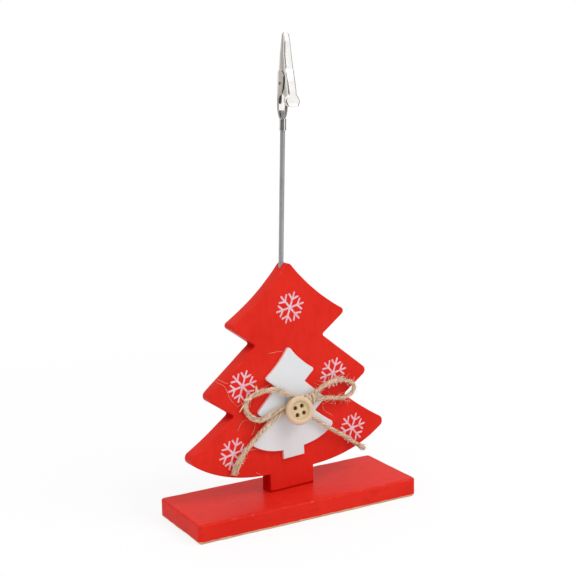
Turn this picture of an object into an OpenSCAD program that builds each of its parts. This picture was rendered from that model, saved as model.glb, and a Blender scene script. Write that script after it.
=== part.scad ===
// Wooden place card holder: a flat fir tree on a plank, with a card clip on a
// rod that rises from the tree's tip. Millimetres, +Z up, +Y to the back.
// Origin: middle of the plank's underside.

/* [Base plank] */
// Length of the plank, left to right
base_l = 101; // [90:1:130]
// Depth of the plank, front to back
base_d = 36.5; // [30:0.5:50]
// Thickness of the plank
base_h = 7.9; // [6:0.1:12]
// Radius of the plank's upright corners
base_corner_r = 1.8; // [0.6:0.1:3]
// Radius of the plank's upper edges
base_edge_r = 0.8; // [0.3:0.1:1.2]
// Chamfer on the plank's bare lower edge
base_chamfer = 0.9; // [0.4:0.1:1.5]

/* [Tree panel] */
// Width between the drawn corners of the tree's skirt
tree_w = 97.7; // [80:0.1:105]
// Height from the plank to the drawn tip
tree_h = 95.4; // [85:0.1:115]
// Thickness of the tree panel
tree_t = 6.3; // [5:0.1:10]
// Width of the trunk
trunk_w = 21.3; // [14:0.1:26]
// Height of the trunk below the skirt
trunk_h = 7.8; // [5:0.1:11]
// Radius that rounds the branch tips
tip_r = 2.2; // [1:0.1:3]
// Radius in the notches between the branches
notch_r = 0.8; // [0.4:0.1:1.5]
// Sideways offset of the tree from the plank's middle
tree_x = 1.0; // [-3:0.1:3]
// Setback of the tree's front face from the plank's middle
tree_y = -0.3; // [-4:0.1:4]
// Small turn of the tree on its single screw, in degrees
tree_turn = 3.5; // [-5:0.5:5]

/* [Trunk screw] */
// Shank diameter of the screw that holds the trunk
screw_d = 3.0; // [2.5:0.1:3.5]
// Head diameter of the screw
screw_head_d = 5.8; // [5:0.1:6.5]
// Length of the screw, head included
screw_l = 20; // [16:1:26]
// Depth of the countersunk head
screw_head_h = 1.6; // [1.2:0.1:2]
// Depth of the head below the plank's underside
screw_sink = 0.4; // [0.2:0.1:0.8]

/* [Small tree] */
// Width between the drawn corners of the small tree's skirt
small_w = 41.5; // [30:0.1:50]
// Height of the small tree
small_h = 47; // [36:0.5:54]
// Thickness of the small tree
small_t = 1.5; // [1.2:0.1:4]
// Width of the small tree's trunk
small_trunk_w = 10; // [6:0.1:12]
// Height of the small tree's trunk
small_trunk_h = 3.8; // [2:0.1:6]
// Radius that rounds the small tree's branch tips
small_tip_r = 1.3; // [0.4:0.1:1.5]
// Sideways offset of the small tree's foot from the tree's axis
small_x = 0.3; // [-3:0.1:3]
// Height of the small tree's foot above the plank
small_z = 13.9; // [10:0.1:20]
// Lean of the small tree to the left, in degrees
small_lean = 2.1; // [-4:0.1:4]

/* [Button] */
// Diameter of the wooden button
button_d = 11.8; // [10:0.1:14]
// Thickness of the button at its rim
button_t = 2.5; // [2.2:0.1:4]
// Diameter of the dished middle
button_dish_d = 7.1; // [6.5:0.1:8]
// Depth of the dished middle
button_dish_h = 0.9; // [0.4:0.1:1.4]
// Diameter of the four sewing holes
button_hole_d = 1.8; // [1:0.1:2]
// Spacing of the sewing holes
button_hole_pitch = 3.0; // [2.5:0.1:3.4]
// Height of the button's middle above the plank
button_z = 34.7; // [30:0.1:40]
// Sideways offset of the button's middle from the tree's axis
button_x = 0.0; // [-3:0.1:3]
// Backward tilt of the button's face, in degrees
button_tilt = 10; // [0:0.5:10]
// Turn of the button's face to the left, in degrees
button_yaw = 11; // [0:0.5:11]
// Turn of the hole pattern, in degrees
button_turn = 13; // [-45:1:45]

/* [Twine bow] */
// Diameter of the jute twine
twine_d = 1.9; // [1.5:0.1:2.1]
// Height of the bow's knot
knot_h = 5.0; // [4:0.1:6]
// Length of the bow's knot
knot_l = 10.5; // [8:0.1:12]

/* [Stem] */
// Diameter of the steel rod
stem_d = 2.0; // [1.6:0.1:2.4]
// Free length between the tree's drawn tip and the clip
stem_free = 51.6; // [40:0.1:70]
// Depth of the rod's seat below the tree's drawn tip
stem_seat = 20; // [14:0.5:26]
// Length of rod that shows above the crimp barrel
stem_over = 3.2; // [1:0.1:4]
// Sideways offset of the rod from the tree's axis, at the tip
stem_x = -1.35; // [-2:0.1:2]
// Lean of the rod to the right, in degrees
stem_lean = 2.2; // [0:0.1:4]

/* [Clip] */
// Thickness of the clip's sheet steel
sheet_t = 0.4; // [0.3:0.05:0.5]
// Length of the crimp barrel round the rod
barrel_l = 4.7; // [3.5:0.1:7]
// Lean of the jaws to the right from the rod's axis, in degrees
jaw_lean = 1; // [0:0.1:2]
// Gap between the barrel's two wings
seam_w = 0.7; // [0.3:0.1:1]
// Turn of that gap from the front towards the left, in degrees
seam_turn = 33; // [0:1:60]
// Height of the pivot above the barrel's lower end
pivot_h = 18.4; // [16:0.1:22]
// Distance of the pivot in front of the rod's axis
pivot_fwd = 1.0; // [0.6:0.1:1.4]
// Diameter of the pivot pin
pin_d = 1.2; // [0.8:0.1:1.4]
// Length of the jaws from the pivot to the tips
nose_l = 19.7; // [16:0.1:26]
// Length over which the nose narrows
nose_taper_l = 8.3; // [5:0.1:9]
// Width of the nose where it leaves the ears
nose_w = 3.7; // [3.4:0.1:4]
// Width of the nose at the tip
tip_w = 2.5; // [2:0.1:3]
// Width over the rear jaw's ears
ear_w = 4.8; // [4.6:0.1:5.6]
// Reach of the front jaw's back in front of the pivot
jaw_reach = 5.3; // [4.6:0.1:6]
// Depth of the rear jaw at its tip
rear_tip_h = 1.0; // [0.7:0.1:1.3]
// Depth of the front jaw at its tip
front_tip_h = 0.65; // [0.5:0.05:0.9]
// Depth of the rear jaw's side walls below the ears
wall_h = 1.4; // [0.8:0.1:1.6]
// Length of the thumb tab below the pivot
tab_l = 9.0; // [8:0.1:10]
// Width of the thumb tab
tab_w = 6.6; // [5:0.1:8]
// Depth of the lip round the thumb tab
tab_lip = 1.2; // [0.8:0.1:1.5]

/* [Spring] */
// Diameter of the spring's wire
wire_d = 0.75; // [0.5:0.05:0.8]
// Gap between neighbouring turns
turn_gap = 0.42; // [0.41:0.01:0.5]
// Mean radius of the coil
coil_r = 1.2; // [1.15:0.01:1.3]

/* [Hidden] */
$fn = 48;

// Overrun of every cut past the face that it opens
cut = 1;
// Radial play of a fixed pin, screw or rod in its hole
fixed_play = 0.02;
// Radial play of the front jaw on its pin
running_play = 0.04;
// Side play between the front jaw and the ears
ear_play = 0.05;
// Gap between the closed jaws' edges
mate_gap = 0.05;

// Corners of half the tree, tip to skirt: shares of half the width and of the height
tier_shares = [[0.574, 0.7505], [0.3285, 0.6585], [0.802, 0.464], [0.546, 0.373], [1, 0.217]];
// Bow of each edge between those corners, as a share of its length
bow_shares = [-0.086, 0, 0, 0, -0.035, 0.155, 0];
// Radius at the tip and at each corner, as a share of the tip or notch radius
round_shares = [0.95, 0.7, 1, 1, 1, 1.2];
arc_steps = 6;
curve_steps = 8;

// The front jaw's back, seen from the side: share of the nose or tab length, share of the reach
nose_back_shares = [[0.82, 0.18], [0.58, 0.31], [0.3, 0.57], [0.05, 0.86]];
tab_back_shares = [[0.3, 1.05], [0.5, 1.1], [0.69, 1.13], [0.85, 1.19], [1, 1.3]];
// Where the nose is widest before it narrows, as a share of its root width
nose_mid_share = 0.95;
// The rear jaw's ear: shares of the reach forward and of the nose length upward
ear_shares = [[0.27, 0.21], [0.43, 0.145], [0.45, 0.02], [0.36, -0.1], [0.16, -0.208]];
// Lower end of the ears at the back, as a share of the nose length
ear_foot_share = -0.28;
// The neck below the ears: shares of the ears' width and of the nose length
neck_shares = [[0.97, -0.42], [0.93, -0.54], [0.78, -0.64]];
// Height where the nose begins and where the ears reach full width, as shares of its length
jog_shares = [0.275, 0.235];
// Mating line behind the pivot at the tip and in front of it at the root, as shares of the reach
mate_tip_share = 0.17;
mate_root_share = 0.095;
// Radius of the front jaw's lobe round the pin, as a share of the reach
lobe_share = 0.32;
// Foot of the front jaw's side walls, as shares of the tab length and of the reach
foot_shares = [0.46, 0.1];
// Arc round the jaws' tips and round the lobe, in degrees
tip_arc = 80;
lobe_arc = 120;
// Radius of the pin's heads, as a share of its diameter, and of their flat middle
head_share = 0.75;
head_flat_share = 0.8;

// Thickness of the pressed knot, as a share of the twine's diameter, and its play round the button
knot_share = 2.15;
knot_play = 0.05;
// Flat part of the button's rim, and depth at the dish's edge, as shares of the rim and of the dish
rim_flat_share = 0.8;
dish_edge_share = 0.8;

half_barrel = stem_d / 2 + fixed_play + sheet_t;
back_y = pivot_fwd + half_barrel;
mate_tip_y = jaw_reach * mate_tip_share;
mate_root_y = -jaw_reach * mate_root_share;
jog_z = nose_l * jog_shares[0];
ear_z = nose_l * jog_shares[1];
front_w = ear_w - 2 * sheet_t - 2 * ear_play;
barrel_z = barrel_l - pivot_h;
small_face_y = -small_t;
knot_t = twine_d * knot_share;
button_back_y = small_face_y - knot_t;

// Routes of the twine in the tree's own frame: across, depth, height above the floor
loop_left_route = [[0.2, -3.2, 47.1], [-4, -3.2, 49.7], [-8.5, -3.2, 51.9], [-13, -3.2, 52.6],
    [-17, -2.8, 52.2], [-20.2, -2.1, 50.8], [-22.3, -1.7, 48.3], [-22.3, -1.7, 45.3], [-20.2, -2.1, 42.3],
    [-16.5, -2.8, 40.7], [-13, -3.2, 41.6], [-8.5, -3.2, 43.4], [-4, -3.2, 44.5], [0.2, -3.2, 44.9]];
loop_right_route = [[7.5, -3.2, 46.7], [10.7, -3.2, 48.1], [14, -3.2, 49.9], [18, -2.8, 50.9],
    [21.8, -2.1, 50.9], [25.7, -1.7, 50.1], [29.2, -1.7, 48.5], [30.7, -1.7, 46.3], [29.2, -1.7, 43.9],
    [25.2, -1.7, 42.7], [21.3, -2.1, 43.3], [17.5, -2.8, 44.2], [14, -3.2, 44.7], [10.7, -3.2, 44.7],
    [7.9, -3.2, 44.3]];
tail_left_route = [[0.2, -3.2, 42.7], [-4.5, -3.2, 42.1], [-9, -3.2, 40.6], [-13, -3.2, 38.1],
    [-16.5, -3.2, 35.6], [-19.5, -2.8, 32.7], [-22.6, -2.4, 29.7], [-25.2, -2.1, 26.8],
    [-27.3, -1.7, 23.3], [-28.8, -1.7, 19.8]];
tail_right_route = [[3.5, -3.2, 42.9], [8.5, -3.2, 37.6], [12.5, -3.2, 34.6], [16.5, -3.2, 31.6],
    [21, -2.8, 28.7], [24.8, -2.1, 26.3], [28.7, -1.7, 23.3], [32.2, -1.7, 20.8], [35.7, -1.7, 18.3]];
// Ends of the knot in the tree's own frame, at the routes' heights
knot_left = [1.3, -3.6, 45.3];
knot_right = [7.3, -3.6, 45.8];

// Unit vector
function unit(v) = v / norm(v);

// Part of a list
function slice(v, first, last) = [for (i = [first:last]) v[i]];

// A list in reverse order
function reverse(v) = [for (i = [len(v) - 1:-1:0]) v[i]];

// Half an outline and its mirror image about the upright axis, as one ring
function both_sides(v) = concat(v, [for (p = reverse(v)) [-p[0], p[1]]]);

// Points of a quadratic curve from a to b drawn towards c
function curve(a, c, b, n) =
    [for (i = [0:n]) let (t = i / n) (1 - t) * (1 - t) * a + 2 * t * (1 - t) * c + t * t * b];

// Points of an arc of radius r that rounds the corner p between the ways to a and b
function corner_arc(p, a, b, r, n) =
    let (u = unit(a - p), v = unit(b - p), half = acos(u * v) / 2)
    let (c = p + unit(u + v) * r / sin(half), s = p + u * r / tan(half) - c, e = p + v * r / tan(half) - c)
    let (from = atan2(s[1], s[0]), turn = (atan2(e[1], e[0]) - from + 540) % 360 - 180)
    [for (i = [0:n]) c + r * [cos(from + turn * i / n), sin(from + turn * i / n)]];

// Control point of an edge from a to b that bows out by a share of its length
function bowed(a, b, share) = (a + b) / 2 + share * [a[1] - b[1], b[0] - a[0]];

// Right half of a fir tree's outline: drawn corners joined by bowed edges, each corner rounded
function fir_half(w, h, root_w, root_h, r_tip, r_notch) =
    let (p = concat([[0, h]], [for (s = tier_shares) [s[0] * w / 2, s[1] * h]],
        [[root_w / 2, root_h], [root_w / 2, 0]]))
    let (c = [for (i = [0:len(p) - 2]) bowed(p[i], p[i + 1], bow_shares[i])])
    let (r = [for (i = [0:5]) round_shares[i] * (i == 2 || i == 4 ? r_notch : r_tip)])
    let (arcs = concat(
        [slice(corner_arc(p[0], [-c[0][0], c[0][1]], c[0], r[0], 2 * arc_steps), arc_steps, 2 * arc_steps)],
        [for (i = [1:5]) corner_arc(p[i], c[i - 1], c[i], r[i], arc_steps)],
        [[p[6]], [p[7]]]))
    [for (i = [0:7]) each concat(arcs[i], i == 7 || bow_shares[i] == 0 ? [] :
        slice(curve(arcs[i][len(arcs[i]) - 1], c[i], arcs[i + 1][0], curve_steps), 1, curve_steps - 1))];

// Directions of a route at each of its points
function headings(p) = [for (i = [0:len(p) - 1]) unit(p[min(i + 1, len(p) - 1)] - p[max(i - 1, 0)])];

// Side vectors that turn with the route and never spin about it
function sides(t, i = 0, s = undef) =
    let (now = unit(i == 0 ? cross(t[0], abs(t[0][1]) < 0.8 ? [0, 1, 0] : [1, 0, 0]) : s - (s * t[i]) * t[i]))
    i == len(t) - 1 ? [now] : concat([now], sides(t, i + 1, now));

// One unbroken round tube along a route, with a ring of n corners at each point
module tube(route, d, n) {
    t = headings(route);
    s = sides(t);
    rings = [for (i = [0:len(route) - 1]) for (k = [0:n - 1])
        let (a = 360 * k / n) route[i] + d / 2 * (cos(a) * s[i] + sin(a) * cross(t[i], s[i]))];
    last = (len(route) - 1) * n;
    walls = [for (i = [0:len(route) - 2]) for (k = [0:n - 1]) let (a = i * n + k, b = i * n + (k + 1) % n)
        each [[a, b, b + n], [a, b + n, a + n]]];
    caps = [for (k = [1:n - 2]) each [[0, k + 1, k], [last, last + k, last + k + 1]]];
    polyhedron(points = rings, faces = [for (f = concat(walls, caps)) reverse(f)], convexity = 6);
}

// The tree's frame: turned on its screw, front face at zero depth
module tree_place() {
    translate([tree_x, tree_y, 0])
        rotate([0, 0, tree_turn])
            children();
}

// The rod's frame: on its axis at the height of the tree's drawn tip
module stem_place() {
    tree_place()
        translate([stem_x, tree_t / 2, base_h + tree_h])
            rotate([0, stem_lean, 0])
                children();
}

// The clip's frame: on the pivot's axis, leaning from the rod at the barrel's top
module pivot_place() {
    stem_place()
        translate([0, -pivot_fwd, stem_free + barrel_l])
            rotate([0, jaw_lean, 0])
                translate([0, 0, -barrel_z])
                    children();
}

// A profile drawn from the side, given as depth and height, across a width
module from_side(points, w) {
    rotate([90, 0, 90])
        linear_extrude(height = w, center = true)
            polygon(points);
}

// A profile drawn from the front, given as width and height, through a depth
module from_front(points, d) {
    rotate([90, 0, 0])
        linear_extrude(height = d, center = true)
            polygon(points);
}

// Half the plank's cross profile: bare chamfer below, eased edge above
function plank_half(w) = concat(
    [[0, 0], [w / 2 - base_chamfer, 0], [w / 2, base_chamfer]],
    [for (i = [0:4]) let (a = 90 * i / 4)
        [w / 2 - base_edge_r + base_edge_r * cos(a), base_h - base_edge_r + base_edge_r * sin(a)]],
    [[0, base_h]]);

module plank_plan() {
    square([base_l - 2 * base_corner_r, base_d], center = true);
    square([base_l, base_d - 2 * base_corner_r], center = true);
    for (x = [-1, 1])
        for (y = [-1, 1])
            translate([x * (base_l / 2 - base_corner_r), y * (base_d / 2 - base_corner_r)])
                circle(r = base_corner_r);
}

// The screw's profile, half of it, from the head's face upward
module screw_profile(play) {
    polygon([[0, 0], [screw_head_d / 2 + play, 0], [screw_d / 2 + play, screw_head_h],
        [screw_d / 2 + play, screw_l - screw_d + play], [0, screw_l + play]]);
}

module screw_shape(play) {
    tree_place()
        translate([0, tree_t / 2, screw_sink])
            rotate_extrude()
                screw_profile(play);
}

module base_plank() {
    color("crimson")
    difference() {
        intersection() {
            linear_extrude(height = base_h)
                plank_plan();
            from_front(both_sides(plank_half(base_l)), base_d + cut);
            from_side(both_sides(plank_half(base_d)), base_l + cut);
        }
        screw_shape(fixed_play);
        tree_place()
            translate([0, tree_t / 2, -cut])
                cylinder(d = screw_head_d + 2 * fixed_play, h = cut + screw_sink);
    }
}

module tree_panel() {
    color("red")
    difference() {
        tree_place()
            translate([0, tree_t / 2, base_h])
                from_front(both_sides(fir_half(tree_w, tree_h, trunk_w, trunk_h, tip_r, notch_r)), tree_t);
        screw_shape(fixed_play);
        stem_place()
            translate([0, 0, -stem_seat])
                cylinder(d = stem_d + 2 * fixed_play, h = stem_seat + cut);
    }
}

module trunk_screw() {
    color("silver")
    screw_shape(0);
}

module small_tree() {
    color("white")
    tree_place()
        translate([small_x, -small_t / 2, base_h + small_z])
            rotate([0, -small_lean, 0])
                from_front(both_sides(fir_half(small_w, small_h, small_trunk_w, small_trunk_h,
                    small_tip_r, notch_r / 2)), small_t);
}

// The button's frame: on its axis, at its back face, with +Z towards the viewer
module button_place() {
    tree_place()
        translate([button_x, button_back_y, base_h + button_z])
            rotate([0, 0, -button_yaw])
                rotate([90 - button_tilt, 0, 0])
                    children();
}

// Half the button's profile: rounded rim, dished middle
function button_half() =
    let (r = button_t / 2, rim = (button_d - button_dish_d) / 4)
    concat([[0, 0]],
        [for (i = [0:6]) let (a = -90 + 90 * i / 6) [button_d / 2 - r / 2 + r / 2 * cos(a), r / 2 + r / 2 * sin(a)]],
        [for (i = [0:6]) let (a = 90 * i / 6)
            [button_d / 2 - rim + rim * cos(a), button_t - r / 2 + r / 2 * sin(a)]],
        [[button_dish_d / 2 + rim * rim_flat_share, button_t],
            [button_dish_d / 2, button_t - button_dish_h * dish_edge_share],
            [button_dish_d / 2 - button_dish_h, button_t - button_dish_h], [0, button_t - button_dish_h]]);

module button() {
    color("burlywood")
    button_place()
        difference() {
            rotate_extrude()
                polygon(button_half());
            rotate([0, 0, button_turn])
                for (x = [-1, 1])
                    for (y = [-1, 1])
                        translate([x, y, 0] * button_hole_pitch / 2 - [0, 0, cut])
                            cylinder(d = button_hole_d, h = button_t + 2 * cut, $fn = 32);
        }
}

// The tied knot, pressed flat between the small tree and the button
module bow_knot() {
    color("tan")
    tree_place()
        difference() {
            hull()
                for (p = [knot_left, knot_right])
                    translate([p[0] + (p == knot_left ? 1 : -1) * (knot_h + knot_right[0] - knot_left[0] - knot_l) / 2,
                        p[1], p[2]])
                        sphere(d = knot_h, $fn = 20);
            translate([-base_l / 2, small_face_y, 0])
                cube([base_l, base_l, 2 * tree_h]);
            translate([button_x, button_back_y, base_h + button_z])
                rotate([0, 0, -button_yaw])
                    rotate([90 - button_tilt, 0, 0])
                        cylinder(d = button_d + 2 * knot_play, h = button_t + cut);
        }
}

module bow_loop_left() {
    color("tan")
    tree_place()
        tube(loop_left_route, twine_d, 8);
}

module bow_loop_right() {
    color("tan")
    tree_place()
        tube(loop_right_route, twine_d, 8);
}

module bow_tail_left() {
    color("tan")
    tree_place()
        tube(tail_left_route, twine_d, 8);
}

module bow_tail_right() {
    color("tan")
    tree_place()
        tube(tail_right_route, twine_d, 8);
}

// A straight rod with a domed upper end
module stem_rod() {
    top = stem_free + barrel_l + stem_over;
    color("gray")
    stem_place()
        rotate_extrude()
            polygon(concat([[0, -stem_seat], [stem_d / 2, -stem_seat]],
                [for (i = [0:5]) let (a = 90 * i / 5)
                    [stem_d / 2 * cos(a), top - stem_d / 4 + stem_d / 4 * sin(a)]]));
}

// Half the nose as seen from the front, from a round tip down to its root
function nose_half(less) =
    let (r = tip_w / 2 - less)
    concat([for (i = [0:arc_steps]) let (a = 90 - tip_arc * i / arc_steps) [r * cos(a), nose_l - tip_w / 2 + r * sin(a)]],
        [[nose_w / 2 * nose_mid_share - less, nose_l - nose_taper_l], [nose_w / 2 - less, jog_z]]);

// The rear jaw from the front: nose, ears, walls and neck
function rear_half(less) = concat(nose_half(less),
    [[ear_w / 2 - less, ear_z], [ear_w / 2 - less, nose_l * ear_foot_share]],
    [for (s = neck_shares) [ear_w / 2 * s[0] - less, nose_l * s[1]]],
    [[half_barrel - less, barrel_z], [half_barrel - less, barrel_z - sheet_t]]);

// The line along which the closed jaws meet, from the tip to the root
function mate_line(shift) = [[mate_tip_y + shift, nose_l + cut],
    [mate_root_y + shift, ear_z]];

// The rear jaw from the side: its walls stand forward from a nearly straight back
function rear_side() = concat(mate_line(0),
    [for (s = ear_shares) [-s[0] * jaw_reach, s[1] * nose_l]],
    [[back_y - wall_h, nose_l * ear_foot_share], [back_y - wall_h, barrel_z - sheet_t],
        [back_y, barrel_z - sheet_t], [back_y, 0], [mate_tip_y + rear_tip_h, nose_l + cut]]);

// The space between the rear jaw's walls, from the side
function rear_space() = [[-jaw_reach, nose_l + cut], [-jaw_reach, barrel_z - 2 * sheet_t],
    [back_y - sheet_t, barrel_z - 2 * sheet_t], [back_y - sheet_t, 0],
    [mate_tip_y + rear_tip_h - sheet_t, nose_l + cut]];

// A channel pressed from sheet: outer form less the space within its walls
module channel(outline, inner_outline, side, inner_side) {
    difference() {
        intersection() {
            from_front(both_sides(outline), 4 * jaw_reach);
            from_side(side, 2 * tab_w);
        }
        intersection() {
            from_front(both_sides(inner_outline), 4 * jaw_reach + cut);
            from_side(inner_side, 2 * tab_w + cut);
        }
    }
}

module across(d, w) {
    rotate([0, 90, 0])
        cylinder(d = d, h = w, center = true);
}

module clip_rear_jaw() {
    color("lightgray")
    difference() {
        union() {
            pivot_place()
                channel(rear_half(0), rear_half(sheet_t), rear_side(), rear_space());
            stem_place()
                translate([0, 0, stem_free])
                    cylinder(r = half_barrel, h = barrel_l);
        }
        stem_place()
            translate([0, 0, stem_free - cut])
                cylinder(d = stem_d + 2 * fixed_play, h = barrel_l + stem_over + 2 * cut);
        stem_place()
            rotate([0, 0, -seam_turn])
                translate([-seam_w / 2, -2 * half_barrel, stem_free - cut])
                    cube([seam_w, 2 * half_barrel, barrel_l + 2 * cut]);
        pivot_place()
            across(pin_d + 2 * fixed_play, ear_w + cut);
    }
}

// The front jaw's back line from the side: nose above, thumb tab below
function front_back(shift) = concat(
    [[mate_tip_y - front_tip_h + shift, nose_l + cut]],
    [for (s = nose_back_shares) [-s[1] * jaw_reach + shift, s[0] * nose_l]],
    [for (s = tab_back_shares) [-s[1] * jaw_reach + shift, -s[0] * tab_l]],
    [[-jaw_reach * tab_back_shares[4][1] + shift, -tab_l - cut]]);

// The front jaw from the side: lip, side walls with their lobe round the pin, mating edge
function front_side() =
    let (lobe = lobe_share * jaw_reach, foot = -foot_shares[0] * tab_l)
    concat(front_back(0),
        [for (s = reverse(slice(tab_back_shares, 1, 4))) [-s[1] * jaw_reach + sheet_t + tab_lip, -s[0] * tab_l]],
        [[-jaw_reach + sheet_t + tab_lip, foot], [-foot_shares[1] * jaw_reach, foot]],
        [for (i = [0:8]) let (a = lobe_arc * (i / 8 - 1 / 2)) lobe * [cos(a), sin(a)]],
        reverse(mate_line(-mate_gap)));

// The front jaw from the front: nose, waist inside the ears, flared thumb tab
function front_half(less) =
    let (waist = [front_w / 2 - less, -foot_shares[0] * tab_l])
    let (wide = [tab_w / 2 - less, -tab_back_shares[2][0] * tab_l], low = -tab_l + less)
    let (r = tab_w / 3 - less)
    concat(nose_half(less), [[front_w / 2 - less, ear_z]],
        curve(waist, [(waist[0] + wide[0]) / 2, (waist[1] * 2 + wide[1]) / 3], wide, arc_steps),
        [for (i = [1:arc_steps]) let (a = -90 * i / arc_steps)
            [wide[0] - r + r * cos(a), low + (wide[1] - low) * (1 + sin(a))]]);

module clip_front_jaw() {
    color("gainsboro")
    pivot_place()
        difference() {
            channel(front_half(0), front_half(sheet_t), front_side(),
                concat(front_back(sheet_t), [[2 * jaw_reach, -tab_l - cut], [2 * jaw_reach, nose_l + cut]]));
            across(pin_d + 2 * running_play, ear_w + cut);
        }
}

// A pin with low domed heads outside the ears
module clip_pivot_pin() {
    head = pin_d * head_share;
    dome = sheet_t / 2;
    half = [[pin_d / 2, 0], [pin_d / 2, ear_w / 2], [head, ear_w / 2],
        [head * head_flat_share, ear_w / 2 + dome * head_flat_share], [0, ear_w / 2 + dome]];
    color("darkgray")
    pivot_place()
        rotate([0, 90, 0])
            rotate_extrude()
                polygon(concat([for (p = half) p], [for (p = reverse(half)) [p[0], -p[1]]]));
}

// The spring's route: a leg up along the back, the turns round the pin, a leg down to the tab
spring_pitch = wire_d + turn_gap;
spring_turns = 1;
spring_from = 2.5;
spring_to = 146;
rings_per_turn = 8;
back_leg = 8.1;
tab_leg = 6.2;
function coil_point(a) =
    [spring_pitch * (a - (spring_from + spring_to) / 2 - 180 * spring_turns) / 360, coil_r * cos(a), coil_r * sin(a)];
function coil_way(a) = [0, -sin(a), cos(a)];
spring_end = spring_to + 360 * spring_turns;
coil_rings = ceil((spring_end - spring_from) * rings_per_turn / 360);
spring_route = concat(
    [for (i = [2:-1:1]) coil_point(spring_from) - coil_way(spring_from) * back_leg * i / 2],
    [for (i = [0:coil_rings]) coil_point(spring_from + (spring_end - spring_from) * i / coil_rings)],
    [for (i = [1:2]) coil_point(spring_end) + coil_way(spring_end) * tab_leg * i / 2]);

// Least gap of the wire to itself, taken over points at least half a turn apart
coil_points = slice(spring_route, 2, 2 + coil_rings);
spring_gap = min([for (i = [0:coil_rings]) for (j = [0:coil_rings])
    if (abs(i - j) >= rings_per_turn / 2) norm(coil_points[i] - coil_points[j])]) - wire_d;
echo(str("clip_spring least gap to itself ", spring_gap, " mm"));

module clip_spring() {
    color("dimgray")
    pivot_place()
        tube(spring_route, wire_d, 6);
}

base_plank();
tree_panel();
trunk_screw();
small_tree();
bow_knot();
bow_loop_left();
bow_loop_right();
bow_tail_left();
bow_tail_right();
button();
stem_rod();
clip_rear_jaw();
clip_front_jaw();
clip_pivot_pin();
clip_spring();
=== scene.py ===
import bmesh
import bpy
import numpy as np
from mathutils import Matrix


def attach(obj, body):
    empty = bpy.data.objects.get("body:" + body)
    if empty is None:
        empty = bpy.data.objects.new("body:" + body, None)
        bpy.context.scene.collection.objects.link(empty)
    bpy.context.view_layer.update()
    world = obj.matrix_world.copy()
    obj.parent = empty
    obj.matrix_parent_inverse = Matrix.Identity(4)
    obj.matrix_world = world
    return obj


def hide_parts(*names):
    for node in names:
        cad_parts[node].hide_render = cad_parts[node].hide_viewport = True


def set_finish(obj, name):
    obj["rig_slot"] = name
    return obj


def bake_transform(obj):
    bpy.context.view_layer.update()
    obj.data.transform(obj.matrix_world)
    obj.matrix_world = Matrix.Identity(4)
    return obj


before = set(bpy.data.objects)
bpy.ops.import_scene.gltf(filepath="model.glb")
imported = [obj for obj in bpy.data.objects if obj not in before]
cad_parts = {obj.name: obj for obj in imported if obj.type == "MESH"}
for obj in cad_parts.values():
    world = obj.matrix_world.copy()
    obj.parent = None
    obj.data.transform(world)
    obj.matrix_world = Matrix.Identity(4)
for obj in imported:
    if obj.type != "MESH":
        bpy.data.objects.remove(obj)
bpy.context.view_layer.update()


# The base plank: a planed softwood board cut to length, its upper edges and upright corners eased by hand.
# It was painted red down to the chamfer round its foot, which stays bare, as the whole underside does.
# Everything else stands on it, and one screw from beneath holds the tree.
MM = 0.001
crisp_from = 38
base_length, base_depth, base_height = 101.0, 36.5, 7.9
base_corner, base_edge, base_chamfer, base_flat = 1.8, 0.8, 0.9, 1.6
base_softness, base_unevenness, base_step = [0.18, 0.25, base_edge], 0.22, 1.5
tree_at, tree_turn, tree_thick = (1.0, -0.3, 0.0), 3.5, 6.3
screw_head, screw_shank, screw_length = 2.9, 1.5, 20.0
screw_sink, screw_countersink, fixed_play = 0.4, 1.6, 0.02
screw_bore = screw_shank + fixed_play
paint_low, paint_high, paint_ragged = 0.95, 1.25, 0.6
red = (0.770, 0.0280, 0.0165, 1)
deep_red = (0.670, 0.0180, 0.0095, 1)
worn_red = (0.870, 0.1400, 0.1000, 1)
smudged_red = (0.480, 0.0120, 0.0080, 1)
# Painted shade for the tree's notches, its trunk under the lowest tier and its foot on the plank.
shade_red = (0.520, 0.0010, 0.0010, 1)
deep_shade_red = (0.340, 0.0005, 0.0005, 1)
bare_wood = (0.800, 0.5700, 0.3700, 1)
dark_wood = (0.620, 0.3900, 0.2200, 1)


class Wire:
    """One output of a material's node. Arithmetic on it adds Math nodes to the material."""

    def __init__(self, finish, socket):
        self.finish, self.socket = finish, socket

    def maths(self, how, *values):
        """A Math node with the operation how."""
        return self.finish.node("Math", {"operation": how}, dict(enumerate(values)))

    def __add__(self, other):
        return self.maths("ADD", self, other)

    def __sub__(self, other):
        return self.maths("SUBTRACT", self, other)

    def __rsub__(self, other):
        return self.maths("SUBTRACT", other, self)

    def __mul__(self, other):
        return self.maths("MULTIPLY", self, other)

    __radd__, __rmul__ = __add__, __mul__

    def rise(self, low, high):
        """0 below low, 1 above high, and a soft step between them."""
        return self.finish.node("MapRange", {"interpolation_type": "SMOOTHSTEP"},
                                {"Value": self, "From Min": low, "From Max": high})


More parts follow.
